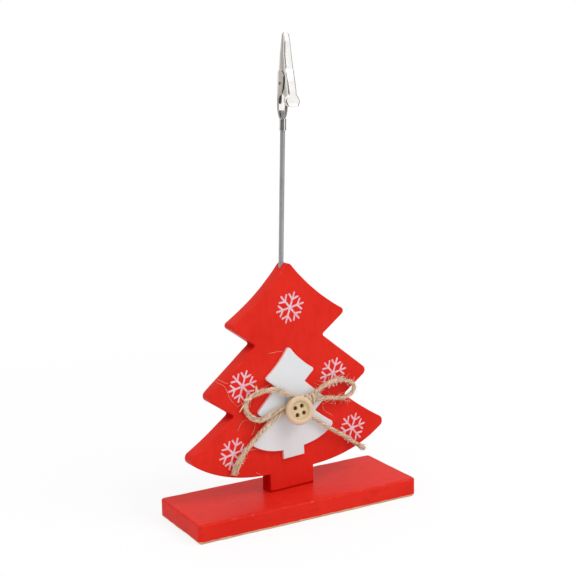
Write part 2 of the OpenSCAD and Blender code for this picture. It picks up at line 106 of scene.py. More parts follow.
class Finish:
    """A material that is built node by node."""

    def __init__(self, name, owner=None):
        self.owner = owner or bpy.data.materials.new(name)
        self.owner.use_nodes = True
        self.tree = self.owner.node_tree
        self.tree.nodes.clear()

    def node(self, kind, settings=None, inputs=None, output=0):
        """Adds a node: its settings first, then the values or links of its inputs."""
        made = self.tree.nodes.new("ShaderNode" + kind)
        for key, value in (settings or {}).items():
            setattr(made, key, value)
        for key, value in (inputs or {}).items():
            if isinstance(value, Wire):
                self.tree.links.new(value.socket, made.inputs[key])
            else:
                made.inputs[key].default_value = value
        return Wire(self, made.outputs[output]) if made.outputs else None

    def place(self):
        """Where a point of the piece is, in metres."""
        return self.node("TexCoord", output="Object")

    def mark(self, name, output="Fac"):
        """A value that was stored on the mesh's points."""
        return self.node("Attribute", {"attribute_name": name}, output=output)

    def noise(self, vector, scale, detail=2.0, roughness=0.5):
        """Clouds between 0 and 1. scale is their fineness per metre, one number or one for each axis."""
        if isinstance(scale, tuple):
            vector = self.node("VectorMath", {"operation": "MULTIPLY"}, {0: vector, 1: scale})
            scale = 1.0
        return self.node("TexNoise", {}, {"Vector": vector, "Scale": scale, "Detail": detail,
                                          "Roughness": roughness})

    def mixed(self, share, first, second):
        """The first colour where share is 0, the second where it is 1."""
        return self.node("Mix", {"data_type": "RGBA"}, {0: share, 6: first, 7: second}, output=2)

    def bump(self, height, depth, strength=1.0):
        """Fine relief: a height between 0 and 1 stands for depth in metres."""
        return self.node("Bump", {}, {"Height": height, "Distance": depth, "Strength": strength})

    def surface(self, **inputs):
        """Ends the material in one Principled shader. Underlines in an input's name stand for spaces."""
        named = {key.replace("_", " "): value for key, value in inputs.items()}
        self.node("OutputMaterial", {}, {"Surface": self.node("BsdfPrincipled", {}, named)})
        return self.owner


def red_paint(name, fine_x, fine_z, wear):
    """Thin satin paint over softwood. Its tone drifts, dark smudges lie on it, and the grain shows through as
    faint ridges. The mark "edge" lets the pale undercoat through in patches by the share wear. Where the
    painted-shade mark is 1 the colour is darkened as painted shade, deeper and duller where it is 2. Below
    the chamfer's height the wood is bare. fine_x and fine_z are the grain's fineness in X and in Z, per
    metre."""
    f = Finish(name)
    place = f.place()
    height = f.node("SeparateXYZ", {}, {"Vector": place}, output="Z")
    drift = f.noise(place, 38, 3)
    grain = f.noise(place, (fine_x, 900, fine_z), 5, 0.62)
    peel = f.noise(place, 1500)
    patches = f.noise(place, 420, 3, 0.6)
    smudges = f.noise(place, (170, 260, 260), 5, 0.7)
    streaks = f.noise(place, (fine_x * 1.5, 1400, fine_z * 1.5), 6, 0.7)
    worn = f.mark("edge") * patches.rise(0.56, 0.68) * wear
    painted_shade = f.mark("painted_shade")
    paint = f.mixed((drift * 0.7 + grain * 0.45).rise(0.30, 0.82), deep_red, red)
    paint = f.mixed(smudges.rise(0.53, 0.68) * wear, paint, smudged_red)
    # Painted shade: darker where the mark is 1, and deepest and duller where it is 2.
    paint = f.mixed(painted_shade.rise(0, 0.8), f.mixed(worn, paint, worn_red), shade_red)
    paint = f.mixed(painted_shade.rise(1, 2), paint, deep_shade_red)
    wood = f.mixed(streaks.rise(0.35, 0.7), dark_wood, bare_wood)
    painted = (height + (patches - 0.5) * (paint_ragged * MM)).rise(paint_low * MM, paint_high * MM)
    relief = grain * 0.45 + peel * 0.22 + (1 - painted) * streaks * 0.8
    return f.surface(Base_Color=f.mixed(painted, wood, paint),
                     Roughness=0.36 + (drift - 0.5) * 0.16 + (1 - painted) * 0.25 + painted_shade * 0.5,
                     Normal=f.bump(relief, 0.00005, 0.7),
                     Specular_IOR_Level=0.045)


def shifted(x, y, z):
    """The matrix of a move."""
    place = np.eye(4)
    place[:3, 3] = x, y, z
    return place


def turned(axis, degrees):
    """The matrix of a turn about one axis."""
    return np.array(Matrix.Rotation(np.radians(degrees), 4, axis))


def moved(points, at):
    """Points set in place by the matrix at."""
    return points @ at[:3, :3].T + at[:3, 3]


def unit(ways):
    """The same directions at length 1."""
    return ways / np.linalg.norm(ways, axis=-1, keepdims=True)


def arc_at(corner, before, after, radius, steps=8):
    """The arc of the given radius that touches both sides of a corner, from before's side to after's."""
    corner = np.asarray(corner, float)
    a, b = unit(np.array([before, after]) - corner)
    half = np.arccos(np.clip(a @ b, -1, 1)) / 2
    centre = corner + unit(a + b) * radius / np.sin(half)
    first, last = [corner + side * radius / np.tan(half) - centre for side in (a, b)]
    start = np.arctan2(first[1], first[0])
    turn = (np.arctan2(last[1], last[0]) - start + np.pi) % (2 * np.pi) - np.pi
    angle = start + turn * np.linspace(0, 1, steps + 1)
    return centre + radius * np.stack([np.cos(angle), np.sin(angle)], -1)


def rounded(corners, radii, steps=8):
    """A broken line whose inner corners are rounded by arcs. A radius of 0 keeps the corner."""
    p = np.asarray(corners, float)
    inner = [arc_at(p[i], p[i - 1], p[i + 1], r, steps) if r else p[i:i + 1] for i, r in enumerate(radii, 1)]
    return np.concatenate([p[:1], *inner, p[-1:]])


def evened(line, spacing):
    """A line with extra points on its long stretches. Every point of its own stays."""
    gaps = np.linalg.norm(np.diff(line, axis=0), axis=1)
    counts = np.maximum(1, np.round(gaps / spacing)).astype(int)
    side = np.repeat(np.arange(len(gaps)), counts)
    share = (np.arange(len(side)) - np.repeat(np.cumsum(counts) - counts, counts)) / counts[side]
    return np.concatenate([line[side] + share[:, None] * (line[side + 1] - line[side]), line[-1:]])


def outward(outline):
    """Outward directions at a closed outline's points, longer at corners, so an inset keeps its width."""
    ahead = unit(np.roll(outline, -1, 0) - outline)
    x, y = outline.T
    sign = np.sign(np.sum(x * np.roll(y, -1) - y * np.roll(x, -1)))
    after = sign * np.stack([ahead[:, 1], -ahead[:, 0]], -1)
    before = np.roll(after, 1, 0)
    both = unit(before + after)
    return both / np.sum(both * before, axis=1, keepdims=True)


def waver(places, seed, longest=40.0):
    """A smooth hand-made unevenness between about -1 and 1: six sine waves of random length and phase."""
    draw = np.random.default_rng(seed)
    wave = np.arange(1, 7)
    lengths = longest / wave * draw.uniform(0.8, 1.2, 6)
    phases = draw.uniform(0, 2 * np.pi, 6)
    size = 1 / np.sqrt(wave)
    return np.sin(places[..., None] * 2 * np.pi / lengths + phases) @ size / size.sum() * 1.6


def skin(rows, columns):
    """Quads between rows of points, each row joined to the next and closed on itself."""
    i = np.arange(rows - 1)[:, None] * columns
    j = np.arange(columns)[None, :]
    k = (j + 1) % columns
    return np.stack([i + j, i + k, i + columns + k, i + columns + j], -1).reshape(-1, 4).tolist()


def shell(rings, marks=None, caps=(True, True)):
    """A closed shell from a stack of rings, with a flat cap on the first and on the last."""
    rows, columns = rings.shape[:2]
    around = np.arange(columns)
    ends = [around[::-1].tolist(), (around + (rows - 1) * columns).tolist()]
    faces = skin(rows, columns) + [end for end, wanted in zip(ends, caps) if wanted]
    return rings.reshape(-1, 3), faces, marks or {}


def board(outline, profile, edge, ease=0.0, seed=1):
    """A board's rings. The outline is drawn in by the profile's inset at each of its heights. Its distance
    from the nearer sharp edge is scaled by 1 + ease * waver along the outline, so that the eased edges vary
    as by hand. The mark "edge" is 1 along the middle of an edge eased by the radius edge and 0 on the flats,
    and the mark "front" runs from 0 at the lowest point of the profile to 1 at its highest."""
    inset, height = profile.T
    near = np.where(height - height.min() < height.max() - height, height.min(), height.max())
    run = np.cumsum(np.linalg.norm(np.roll(outline, -1, 0) - outline, axis=1))
    factor = 1 + ease * waver(run, seed)[None, :]
    flat = outline[None] - (inset[:, None] * factor)[..., None] * outward(outline)[None]
    level = near[:, None] + (height - near)[:, None] * factor
    eased = np.clip(1.7 - 1.7 * np.hypot(inset, height - near) / edge, 0, 1)
    front = (height - height.min()) / np.ptp(height)
    marks = {"edge": np.repeat(eased, len(outline)), "front": np.repeat(front, len(outline))}
    return np.concatenate([flat, level[..., None]], -1), marks


def added(name, data):
    """A new object in the scene."""
    made = bpy.data.objects.new(name, data)
    bpy.context.scene.collection.objects.link(made)
    return made


def piece(name, shells, material, slot, stands_for=(), body="holder", at=np.eye(4), sharp=crisp_from):
    """One mesh from closed shells of points in millimetres, faces and marks, set in place by at. Doubles are
    merged, faces turned outwards, and edges sharper than the given angle stay crisp."""
    starts = np.cumsum([0] + [len(points) for points, _, _ in shells]).tolist()
    faces = [[n + start for n in face] for start, (_, some, _) in zip(starts, shells) for face in some]
    points = np.concatenate([points for points, _, _ in shells])
    mesh = bpy.data.meshes.new(name)
    mesh.from_pydata((moved(points, at) * MM).tolist(), [], faces)
    for mark in shells[0][2]:
        values = np.concatenate([marks[mark] for _, _, marks in shells]).astype(np.float32)
        kind, field = ("FLOAT", "value") if values.ndim == 1 else ("FLOAT_VECTOR", "vector")
        mesh.attributes.new(mark, kind, "POINT").data.foreach_set(field, values.ravel())
    shape = bmesh.new()
    shape.from_mesh(mesh)
    bmesh.ops.remove_doubles(shape, verts=shape.verts, dist=2e-7)
    bmesh.ops.dissolve_degenerate(shape, edges=shape.edges, dist=1e-7)
    bmesh.ops.recalc_face_normals(shape, faces=shape.faces)
    shape.to_mesh(mesh)
    shape.free()
    mesh.shade_smooth()
    mesh.set_sharp_from_angle(angle=np.radians(sharp))
    mesh.materials.append(material)
    made = added(name, mesh)
    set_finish(made, slot)
    if body:
        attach(made, body)
    if stands_for:
        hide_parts(*stands_for)
    return made


def bored(made, shells, at):
    """Cuts closed shells out of a piece, as a drill does. The shells reach past its surface."""
    cutter = piece(made.name + "_cutter", shells, made.data.materials[0], made["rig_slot"], body=None, at=at)
    cut = made.modifiers.new("bore", "BOOLEAN")
    cut.operation, cut.solver, cut.object = "DIFFERENCE", "EXACT", cutter
    whole = made.evaluated_get(bpy.context.evaluated_depsgraph_get())
    made.data = bpy.data.meshes.new_from_object(whole)
    made.modifiers.clear()
    bpy.data.objects.remove(cutter)
    made.data.shade_smooth()
    made.data.set_sharp_from_angle(angle=np.radians(crisp_from))


def lathe(profile, steps=48):
    """Rings of the profile's radius at its height, turned about Z."""
    radius, height = np.asarray(profile, float).T
    angle = np.linspace(0, 2 * np.pi, steps, endpoint=False)
    return np.stack([radius[:, None] * np.cos(angle), radius[:, None] * np.sin(angle),
                     np.repeat(height[:, None], steps, 1)], -1)


tree_place = shifted(*tree_at) @ turned("Z", tree_turn)
screw_place = tree_place @ shifted(0, tree_thick / 2, screw_sink)
plank_corners = np.array([[1, 1], [-1, 1], [-1, -1], [1, -1]]) * [base_length / 2, base_depth / 2]
corner_arcs = [arc_at(corner, before, after, base_corner) for before, corner, after in
               zip(np.roll(plank_corners, 1, 0), plank_corners, np.roll(plank_corners, -1, 0))]
plank_outline = evened(np.concatenate(corner_arcs + [corner_arcs[0][:1]]), base_step)[:-1]
plank_profile = rounded([[base_flat, 0], [base_chamfer, 0], [0, base_chamfer], [0, base_height],
                         [base_flat, base_height]], base_softness)
plank = piece("plank", [shell(*board(plank_outline, plank_profile, base_edge, base_unevenness, seed=3))],
              red_paint("red_paint_on_plank", fine_x=60, fine_z=900, wear=0.4), "red_paint", ["base_plank"])
bored(plank, [shell(lathe([[screw_head + fixed_play, -3], [screw_head + fixed_play, 0],
                           [screw_bore, screw_countersink], [screw_bore, 9]]))], screw_place)


# The tree: a fir sawn from a softwood board with its grain upright, its sawn edges eased and all of it
# painted red. It stands on the plank a little turned on its single screw. The rod goes down into its tip.
tree_width, tree_height, trunk_width, trunk_height = 97.7, 95.4, 21.3, 7.8
branch_radius, notch_radius, tree_edge, tree_flat = 2.2, 0.8, 0.5, 1.1
tree_unevenness, fir_step, shade_reach = 0.25, 1.6, 3.2
tiers = np.array([[0.574, 0.7505], [0.3285, 0.6585], [0.802, 0.464], [0.546, 0.373], [1, 0.217]])
bows = np.array([-0.086, 0, 0, 0, -0.035, 0.155, 0])
softness = [0.95, 0.7, 1, 1, 1, 1.2]
stem_radius, stem_seat, stem_off, stem_lean = 1.0, 20.0, -1.35, 2.2
stem_bore = stem_radius + fixed_play


def fir(width, height, root_width, root_height, branch_radius, notch_radius):
    """A fir tree's closed outline. Drawn corners at shares of half the width and of the height are joined by
    edges that bow by a share of their length, each corner is rounded, and the half is mirrored about the
    axis."""
    p = np.concatenate([[[0, height]], tiers * [width / 2, height],
                        [[root_width / 2, root_height], [root_width / 2, 0]]])
    a, b = p[:-1], p[1:]
    c = (a + b) / 2 + bows[:, None] * np.stack([a[:, 1] - b[:, 1], b[:, 0] - a[:, 0]], -1)
    radius = [soft * (notch_radius if i in (2, 4) else branch_radius) for i, soft in enumerate(softness)]
    arcs = [arc_at(p[0], c[0] * [-1, 1], c[0], radius[0], 16)[8:]]
    arcs += [arc_at(p[i], c[i - 1], c[i], radius[i]) for i in range(1, 6)] + [p[6:7], p[7:8]]
    t = np.linspace(0, 1, 18)[1:-1, None]
    half = []
    for i, arc in enumerate(arcs):
        half.append(arc)
        if i < 7 and bows[i]:
            half.append((1 - t) ** 2 * arc[-1] + 2 * t * (1 - t) * c[i] + t ** 2 * arcs[i + 1][0])
    half = evened(np.concatenate(half), fir_step)
    return np.concatenate([half, half[:0:-1] * [-1, 1]])


def panel_profile(thick, edge, flat):
    """Inset and height across a panel: back face, eased edge, side, eased edge, front face."""
    return rounded([[flat, 0], [0, 0], [0, thick / 2], [0, thick], [flat, thick]], [edge, 0, edge], 6)


# Panels are drawn lying down, outline in X and Y and thickness in Z, then stood up with the front face to -Y.
stood_up = turned("X", 90)
panel_place = tree_place @ shifted(0, tree_thick, base_height) @ stood_up
stem_place = (tree_place @ shifted(stem_off, tree_thick / 2, base_height + tree_height)
              @ turned("Y", stem_lean))
tree_outline = fir(tree_width, tree_height, trunk_width, trunk_height, branch_radius, notch_radius)
tree_rings, tree_marks = board(tree_outline, panel_profile(tree_thick, tree_edge, tree_flat), tree_edge,
                               tree_unevenness, seed=7)

# Painted shade on the sawn sides in the notches and on the trunk, and ragged painted shade along its foot.
tree_x, tree_y = tree_outline.T
half_trunk, just_past = trunk_width / 2, 0.1
nooks = np.concatenate([tiers[[1, 3]] * [tree_width / 2, tree_height],
                        [[half_trunk, trunk_height], [half_trunk, trunk_height - 4]]])
from_nook = np.hypot(np.abs(tree_x)[:, None] - nooks[:, 0], tree_y[:, None] - nooks[:, 1]).min(1)
on_side = np.clip(1 - (tree_rings[:, 0, 2] / tree_thick - 0.5) ** 6 * 60, 0, 1)
on_trunk = (np.abs(tree_x) < half_trunk + just_past) & (tree_y < trunk_height + just_past)
painted_shade = np.exp(-(from_nook / shade_reach) ** 2) + 0.9 * on_trunk
# A ragged painted shadow along the tree's foot, where it meets the plank.
foot = (tree_y < 0.05) * np.clip(1.2 + 1.2 * waver(tree_x, seed=4, longest=14), 0.2, 2)
on_ease = np.pad(np.ones(len(tree_rings) - 2), 1)
tree_marks["painted_shade"] = np.maximum(on_side[:, None] * painted_shade, on_ease[:, None] * foot).ravel()
tree = piece("tree", [shell(tree_rings, tree_marks)],
             red_paint("red_paint_on_tree", fine_x=420, fine_z=130, wear=0.2), "red_paint", ["tree_panel"],
             at=panel_place)
bored(tree, [shell(lathe([[screw_bore, -4], [screw_bore, screw_length]], 32))], screw_place)
bored(tree, [shell(lathe([[stem_bore, -stem_seat - 0.02], [stem_bore, 6]], 40))], stem_place)


# The snowflakes: five plain six-armed flakes screen-printed on the tree in one thin pinkish white coat.
# The ink is a little uneven at its rim and lets some red through.
flake_reach, flake_fork, flake_prong, flake_stroke = 6.7, 3.45, 3.15, 0.76
flake_turn, flake_hub, flake_step, flake_waver = 19.5, 2.3, 0.4, 0.05
prong_angle = np.radians(52)
flake_places = [(0.47, 84.15), (-22.73, 55.15), (21.14, 53.5), (-27.75, 28.07), (30.58, 27.87)]
ink_edge = 0.04
ink_profile = np.array([[0, -0.05], [0, 0.025], [ink_edge, 0.045]])
thin_ink, full_ink = (0.80, 0.34, 0.38, 1), (0.80, 0.56, 0.64, 1)


def white_print():
    """Thin screen ink whose coat, gloss and relief are cloudy, so that red shows where it is thin."""
    f = Finish("white_print")
    coat = f.noise(f.place(), 700, 4, 0.65)
    return f.surface(Base_Color=f.mixed(coat.rise(0.30, 0.62), thin_ink, full_ink),
                     Roughness=0.5 + coat * 0.2, Specular_IOR_Level=0.2, Normal=f.bump(coat, 0.00003, 0.5))


def flake(seed):
    """One flake's closed outline: half of an arm with its prong, at an angle p, is drawn as a broken line
    with round ends, mirrored about the arm, and set round the middle six times. For a stroke of half width w,
    the prong's sides leave the arm's side at fork - w * tan(p / 2) and at fork + w / tan(p / 2)."""
    w = flake_stroke / 2
    out = np.array([np.sin(prong_angle), np.cos(prong_angle)])
    side = np.array([out[1], -out[0]])
    swing = np.radians(np.linspace(-90, 90, 9))[:, None]
    prong_end = np.array([0, flake_fork]) + out * (flake_prong - w)
    prong = prong_end + w * (np.cos(swing) * out - np.sin(swing) * side)
    crown = np.radians(np.linspace(0, 82, 7))[:, None]
    tip = np.array([0, flake_reach - w]) + w * np.concatenate([np.cos(crown), np.sin(crown)], 1)
    hub = np.array([[np.sin(np.radians(30)), np.cos(np.radians(30))]]) * flake_hub * w
    half = np.concatenate([hub, [[w, flake_fork - w * np.tan(prong_angle / 2)]], prong,
                           [[w, flake_fork + w / np.tan(prong_angle / 2)]], tip])
    arm = evened(np.concatenate([half[1:] * [-1, 1], half[::-1]]), flake_step)
    turns = -np.radians(60 * np.arange(6))
    spin = np.stack([np.cos(turns), -np.sin(turns), np.sin(turns), np.cos(turns)], -1).reshape(6, 2, 2)
    whole = np.einsum("kij,nj->kni", spin, arm).reshape(-1, 2)
    run = np.arange(len(whole)) * flake_step
    return whole + flake_waver * np.stack([waver(run, seed, 5), waver(run, seed + 50, 5)], -1)


flakes = []
for i, (x, z) in enumerate(flake_places):
    ring, marks = board(flake(i), ink_profile, ink_edge)
    flake_place = shifted(x, z - base_height, tree_thick) @ turned("Z", -flake_turn)
    flakes.append(shell(moved(ring, flake_place), marks))
piece("snowflake_prints", flakes, white_print(), "white_paint", at=panel_place)


# The trunk screw: a zinc-plated steel wood screw with a countersunk cross-recessed head, sunk into the
# underside. It runs up through the plank into the trunk's end grain.
thread_pitch, thread_core, thread_fade = 1.3, 1.05, 4
head_edge, shank_end, thread_from, screw_point = 0.06, 5, 5.2, 3
cross_rows = [[1.75, 0.40, -0.3], [1.6, 0.36, 0], [0.45, 0.16, 1.4]]
dull_zinc, bright_zinc = (0.50, 0.51, 0.52, 1), (0.66, 0.66, 0.64, 1)


def clouded(name, fineness, dark, light, metal, roughness, spread, depth=0.00002, strength=0.4):
    """A plain surface whose tone, gloss and relief drift together: one cloudy noise feeds all three."""
    f = Finish(name)
    cloud = f.noise(f.place(), fineness, 3)
    return f.surface(Base_Color=f.mixed(cloud, dark, light), Metallic=metal,
                     Roughness=roughness + cloud * spread, Normal=f.bump(cloud, depth, strength))


def screw_rings():
    """Radius at an angle and a height: the head's cone, then a core with a ridge that climbs as it winds."""
    point_from = screw_length - screw_point
    height = np.concatenate([[0], np.linspace(head_edge, screw_countersink, 4),
                             np.linspace(screw_countersink + 0.1, point_from, 150),
                             np.linspace(point_from + 0.1, screw_length, 22)])
    angle = np.linspace(0, 2 * np.pi, 40, endpoint=False)
    z, a = np.meshgrid(height, angle, indexing="ij")
    phase = (z / thread_pitch - a / (2 * np.pi)) % 1
    ridge = np.clip(1 - np.abs(phase - 0.5) * 5, 0, 1)
    grown = np.where(z > thread_from, np.clip((screw_length - z) / thread_fade, 0, 1), 0)
    core = np.interp(z, [0, head_edge, screw_countersink, shank_end, thread_from, point_from, screw_length],
                     [screw_head - 0.08, screw_head, *[screw_shank] * 2, *[thread_core] * 2, 0.05])
    radius = core + grown * ridge * (screw_shank - thread_core)
    return np.stack([radius * np.cos(a), radius * np.sin(a), z], -1)


def cross_rings(rows):
    """A cross outline of two bars at each row's half length, half width and height."""
    corners = np.array([[1, 0, 0, 1], [0, 1, 0, 1], [0, 1, 1, 0], [0, -1, 1, 0], [0, -1, 0, 1], [-1, 0, 0, 1],
                        [-1, 0, 0, -1], [0, -1, 0, -1], [0, -1, -1, 0], [0, 1, -1, 0], [0, 1, 0, -1],
                        [1, 0, 0, -1]])
    length, width, height = np.asarray(rows, float).T
    x = length[:, None] * corners[None, :, 0] + width[:, None] * corners[None, :, 1]
    y = width[:, None] * corners[None, :, 3] + length[:, None] * corners[None, :, 2]
    return np.stack([x, y, np.repeat(height[:, None], 12, 1)], -1)


zinc = clouded("zinc_plated_steel", 900, dull_zinc, bright_zinc, metal=1.0, roughness=0.26, spread=0.2)
screw = piece("wood_screw", [shell(screw_rings())], zinc, "screw_steel", ["trunk_screw"], at=screw_place)
bored(screw, [shell(cross_rings(cross_rows))], screw_place)


# The small tree: the same fir cut from thin plywood, sanded and painted white, and glued flat on the big one
# with a slight lean. Its sides carry a painted reflection of the red panel around them.
small_width, small_height, small_root, small_root_height = 41.5, 47.0, 10.0, 3.8
small_thick, small_tip, small_notch, small_edge, small_flat = 1.5, 1.3, 0.4, 0.25, 0.7
small_off, small_rise, small_lean, small_unevenness = 0.3, 13.9, 2.1, 0.3
shaded_white, clear_white = (0.72, 0.735, 0.755, 1), (0.775, 0.79, 0.805, 1)
# Painted reflection: the red panel's light on the small tree's white sides.
red_bounce_white, pink_bounce_white = (0.92, 0.36, 0.33, 1), (0.90, 0.78, 0.76, 1)


def white_paint():
    """Matt white that drifts with the grain. By the mark "front" it gives way, a little raggedly, to a
    painted reflection of the red panel on the sides, reddest towards the back."""
    f = Finish("white_paint")
    place = f.place()
    front = f.mark("front")
    drift = f.noise(place, 60, 3)
    grain = f.noise(place, (700, 700, 110), 5, 0.6)
    full = f.mixed((drift * 0.8 + grain * 0.2).rise(0.3, 0.8), shaded_white, clear_white)
    # Painted reflection of the red panel on the sides, reddest towards the back face.
    thin = f.mixed(front.rise(0.0, 0.75), red_bounce_white, pink_bounce_white)
    clear_of_bounce = (front + (f.noise(place, 500, 3, 0.6) - 0.5) * 0.15).rise(0.80, 0.97)
    return f.surface(Base_Color=f.mixed(clear_of_bounce, thin, full), Roughness=0.52 + drift * 0.12,
                     Specular_IOR_Level=0.25, Normal=f.bump(grain, 0.00002, 0.5))


small_place = (tree_place @ shifted(small_off, -small_thick / 2, base_height + small_rise)
               @ turned("Y", -small_lean) @ shifted(0, small_thick / 2, 0) @ stood_up)
small_outline = fir(small_width, small_height, small_root, small_root_height, small_tip, small_notch)
small_rings = board(small_outline, panel_profile(small_thick, small_edge, small_flat), small_edge,
                    small_unevenness, seed=11)
piece("white_tree", [shell(*small_rings)], white_paint(), "white_paint", ["small_tree"], at=small_place)


# The bow: one length of two-ply jute twine, spun from fine yarns, tied with two loops and two tails and
# glued on. Loose fibres stand off all of it, its cut ends fray, and the left loop shed some tufts. The routes
# are the solid model's, across, in depth and in height, in the frame of the tree.
twine_radius, twine_lay, twine_step = 0.95, 9.0, 0.16
slack_lay, core_share, groove_shade_share, widest_core = 2.4 * twine_lay, 0.86, 0.36, 1.2
yarn_count, yarn_radius, fray_after = 10, 0.2, 2
fibre_count, fibre_radius, long_fibre_radius, stray_radius = 420, 0.045, 0.048, 0.05
tuft_count, tuft_radius, bleached, twine_sharp = 44, 0.15, 2.0, 70
frayed_part, frayed_count = slice(-75, -14), 130
inward, sideways = (0.0, 1.0, 0.0), (1.0, 0.0, 0.0)
dark_jute, light_jute, faded_jute = (0.43, 0.27, 0.15, 1), (0.90, 0.73, 0.55, 1), (0.78, 0.64, 0.48, 1)
# Painted shade for the groove between the plies; pale jute is bleached fibre.
groove_shade, pale_jute = (0.32, 0.21, 0.12, 1), (0.86, 0.74, 0.52, 1)
bow_routes = {
    "bow_loop_left": [
        [0.2, -3.2, 47.1], [-4, -3.2, 49.7], [-8.5, -3.2, 51.9], [-13, -3.2, 52.6], [-17, -2.8, 52.2],
        [-20.2, -2.1, 50.8], [-22.3, -1.7, 48.3], [-22.3, -1.7, 45.3], [-20.2, -2.1, 42.3],
        [-16.5, -2.8, 40.7], [-13, -3.2, 41.6], [-8.5, -3.2, 43.4], [-4, -3.2, 44.5], [0.2, -3.2, 44.9]],
    "bow_loop_right": [
        [7.5, -3.2, 46.7], [10.7, -3.2, 48.1], [14, -3.2, 49.9], [18, -2.8, 50.9], [21.8, -2.1, 50.9],
        [25.7, -1.7, 50.1], [29.2, -1.7, 48.5], [30.7, -1.7, 46.3], [29.2, -1.7, 43.9],
        [25.2, -1.7, 42.7], [21.3, -2.1, 43.3], [17.5, -2.8, 44.2], [14, -3.2, 44.7],
        [10.7, -3.2, 44.7], [7.9, -3.2, 44.3]],
    "bow_tail_left": [
        [0.2, -3.2, 42.7], [-4.5, -3.2, 42.1], [-9, -3.2, 40.6], [-13, -3.2, 38.1], [-16.5, -3.2, 35.6],
        [-19.5, -2.8, 32.7], [-22.6, -2.4, 29.7], [-25.2, -2.1, 26.8], [-27.3, -1.7, 23.3],
        [-28.8, -1.7, 19.8]],
    "bow_tail_right": [
        [3.5, -3.2, 42.9], [8.5, -3.2, 37.6], [12.5, -3.2, 34.6], [16.5, -3.2, 31.6], [21, -2.8, 28.7],
        [24.8, -2.1, 26.3], [28.7, -1.7, 23.3], [32.2, -1.7, 20.8], [35.7, -1.7, 18.3]]}


def jute_fibre():
    """Dry plant fibre that is streaky along the twine: the mark "strand" places the streaks, and the mark
    "crest" paints shade into the groove between the plies at 0 and bleaches a fibre above 1.2."""
    f = Finish("jute_fibre")
    strand = f.mark("strand", "Vector")
    crest = f.mark("crest")
    fibres = f.noise(strand, (260, 5200, 5200), 5, 0.7)
    tone = f.mixed(fibres.rise(0.36, 0.64), dark_jute, light_jute)
    tone = f.mixed(f.noise(strand, 260).rise(0.35, 0.75) * 0.4, tone, faded_jute)
    # Painted shade in the groove between the plies.
    tone = f.mixed(crest.rise(0.0, 0.5), groove_shade, tone)
    return f.surface(Base_Color=f.mixed(crest.rise(1.2, 1.8), tone, pale_jute), Roughness=0.85,
                     Specular_IOR_Level=0.2, Sheen_Weight=0.2, Sheen_Roughness=0.5,
                     Normal=f.bump(fibres, 0.00012, 0.8))


jute = jute_fibre()


def jute_piece(name, shells, stands_for=()):
    """A piece of jute, in the frame of the tree."""
    return piece(name, shells, jute, "jute_twine", stands_for, at=tree_place, sharp=twine_sharp)


def distance_along(line):
    """How far along a line each of its points lies."""
    return np.concatenate([[0], np.cumsum(np.linalg.norm(np.diff(line, axis=0), axis=1))])


def smooth_route(points, spacing):
    """A Catmull-Rom curve through the points, sampled at even steps along its length."""
    p = np.asarray(points, float)
    p = np.concatenate([2 * p[:1] - p[1:2], p, 2 * p[-1:] - p[-2:-1]])
    t = np.linspace(0, 1, 24, endpoint=False)[None, :, None]
    a, b, c, d = p[:-3, None], p[1:-2, None], p[2:-1, None], p[3:, None]
    fine = 0.5 * (2 * b + (c - a) * t + (2 * a - 5 * b + 4 * c - d) * t ** 2
                  + (3 * b - a - 3 * c + d) * t ** 3)
    fine = np.concatenate([fine.reshape(-1, 3), p[-2:-1]])
    run = distance_along(fine)
    even = np.linspace(0, run[-1], int(run[-1] / spacing) + 1)
    return np.stack([np.interp(even, run, axis) for axis in fine.T], -1), even


def square_to(line, towards):
    """The heading at each point of a line, and two directions square to it and to each other, the first of
    them also square to towards."""
    ahead = unit(np.gradient(line, axis=0))
    across = unit(np.cross(ahead, towards))
    return ahead, across, np.cross(across, ahead)


def twine(line, run, turns, radius, seed, towards=inward, width=1.0, around=36):
    """Laid twine. Two plies give the section r = radius * (0.8 + 0.2 * |cos angle| ** 0.8), which has turned
    by the number turns at each point. Across the plane square to towards, the section is stretched by width.
    Fine ridges follow the plies, and the thickness drifts. Marks: crest is 0 in the groove between the plies
    and 1 on top of them, strand is the place in the untwisted, straightened twine."""
    _, across, up = square_to(line, towards)
    angle = np.linspace(0, 2 * np.pi, around, endpoint=False)
    turn = 2 * np.pi * (turns + 0.12 * waver(run, seed + 1, 20))
    crest = np.abs(np.cos(angle)) ** 0.8
    ridges = (0.028 * np.sin(9 * angle[None, :] + 0.6 * turn[:, None])
              + 0.020 * np.sin(14 * angle[None, :] - 0.4 * turn[:, None]))
    r = radius * (0.8 + 0.2 * crest[None, :] + ridges) * (1 + 0.08 * waver(run, seed, 14)[:, None])
    direction = angle[None, :] + turn[:, None]
    stretch = np.broadcast_to(width, run.shape)[:, None]
    points = (line[:, None] + (r * stretch * np.cos(direction))[..., None] * across[:, None]
              + (r * np.sin(direction))[..., None] * up[:, None])
    strand = np.stack([np.repeat(run[:, None], around, 1), r * np.cos(angle), r * np.sin(angle)], -1) * MM
    return points, {"crest": np.broadcast_to(crest, r.shape).ravel(), "strand": strand.reshape(-1, 3)}


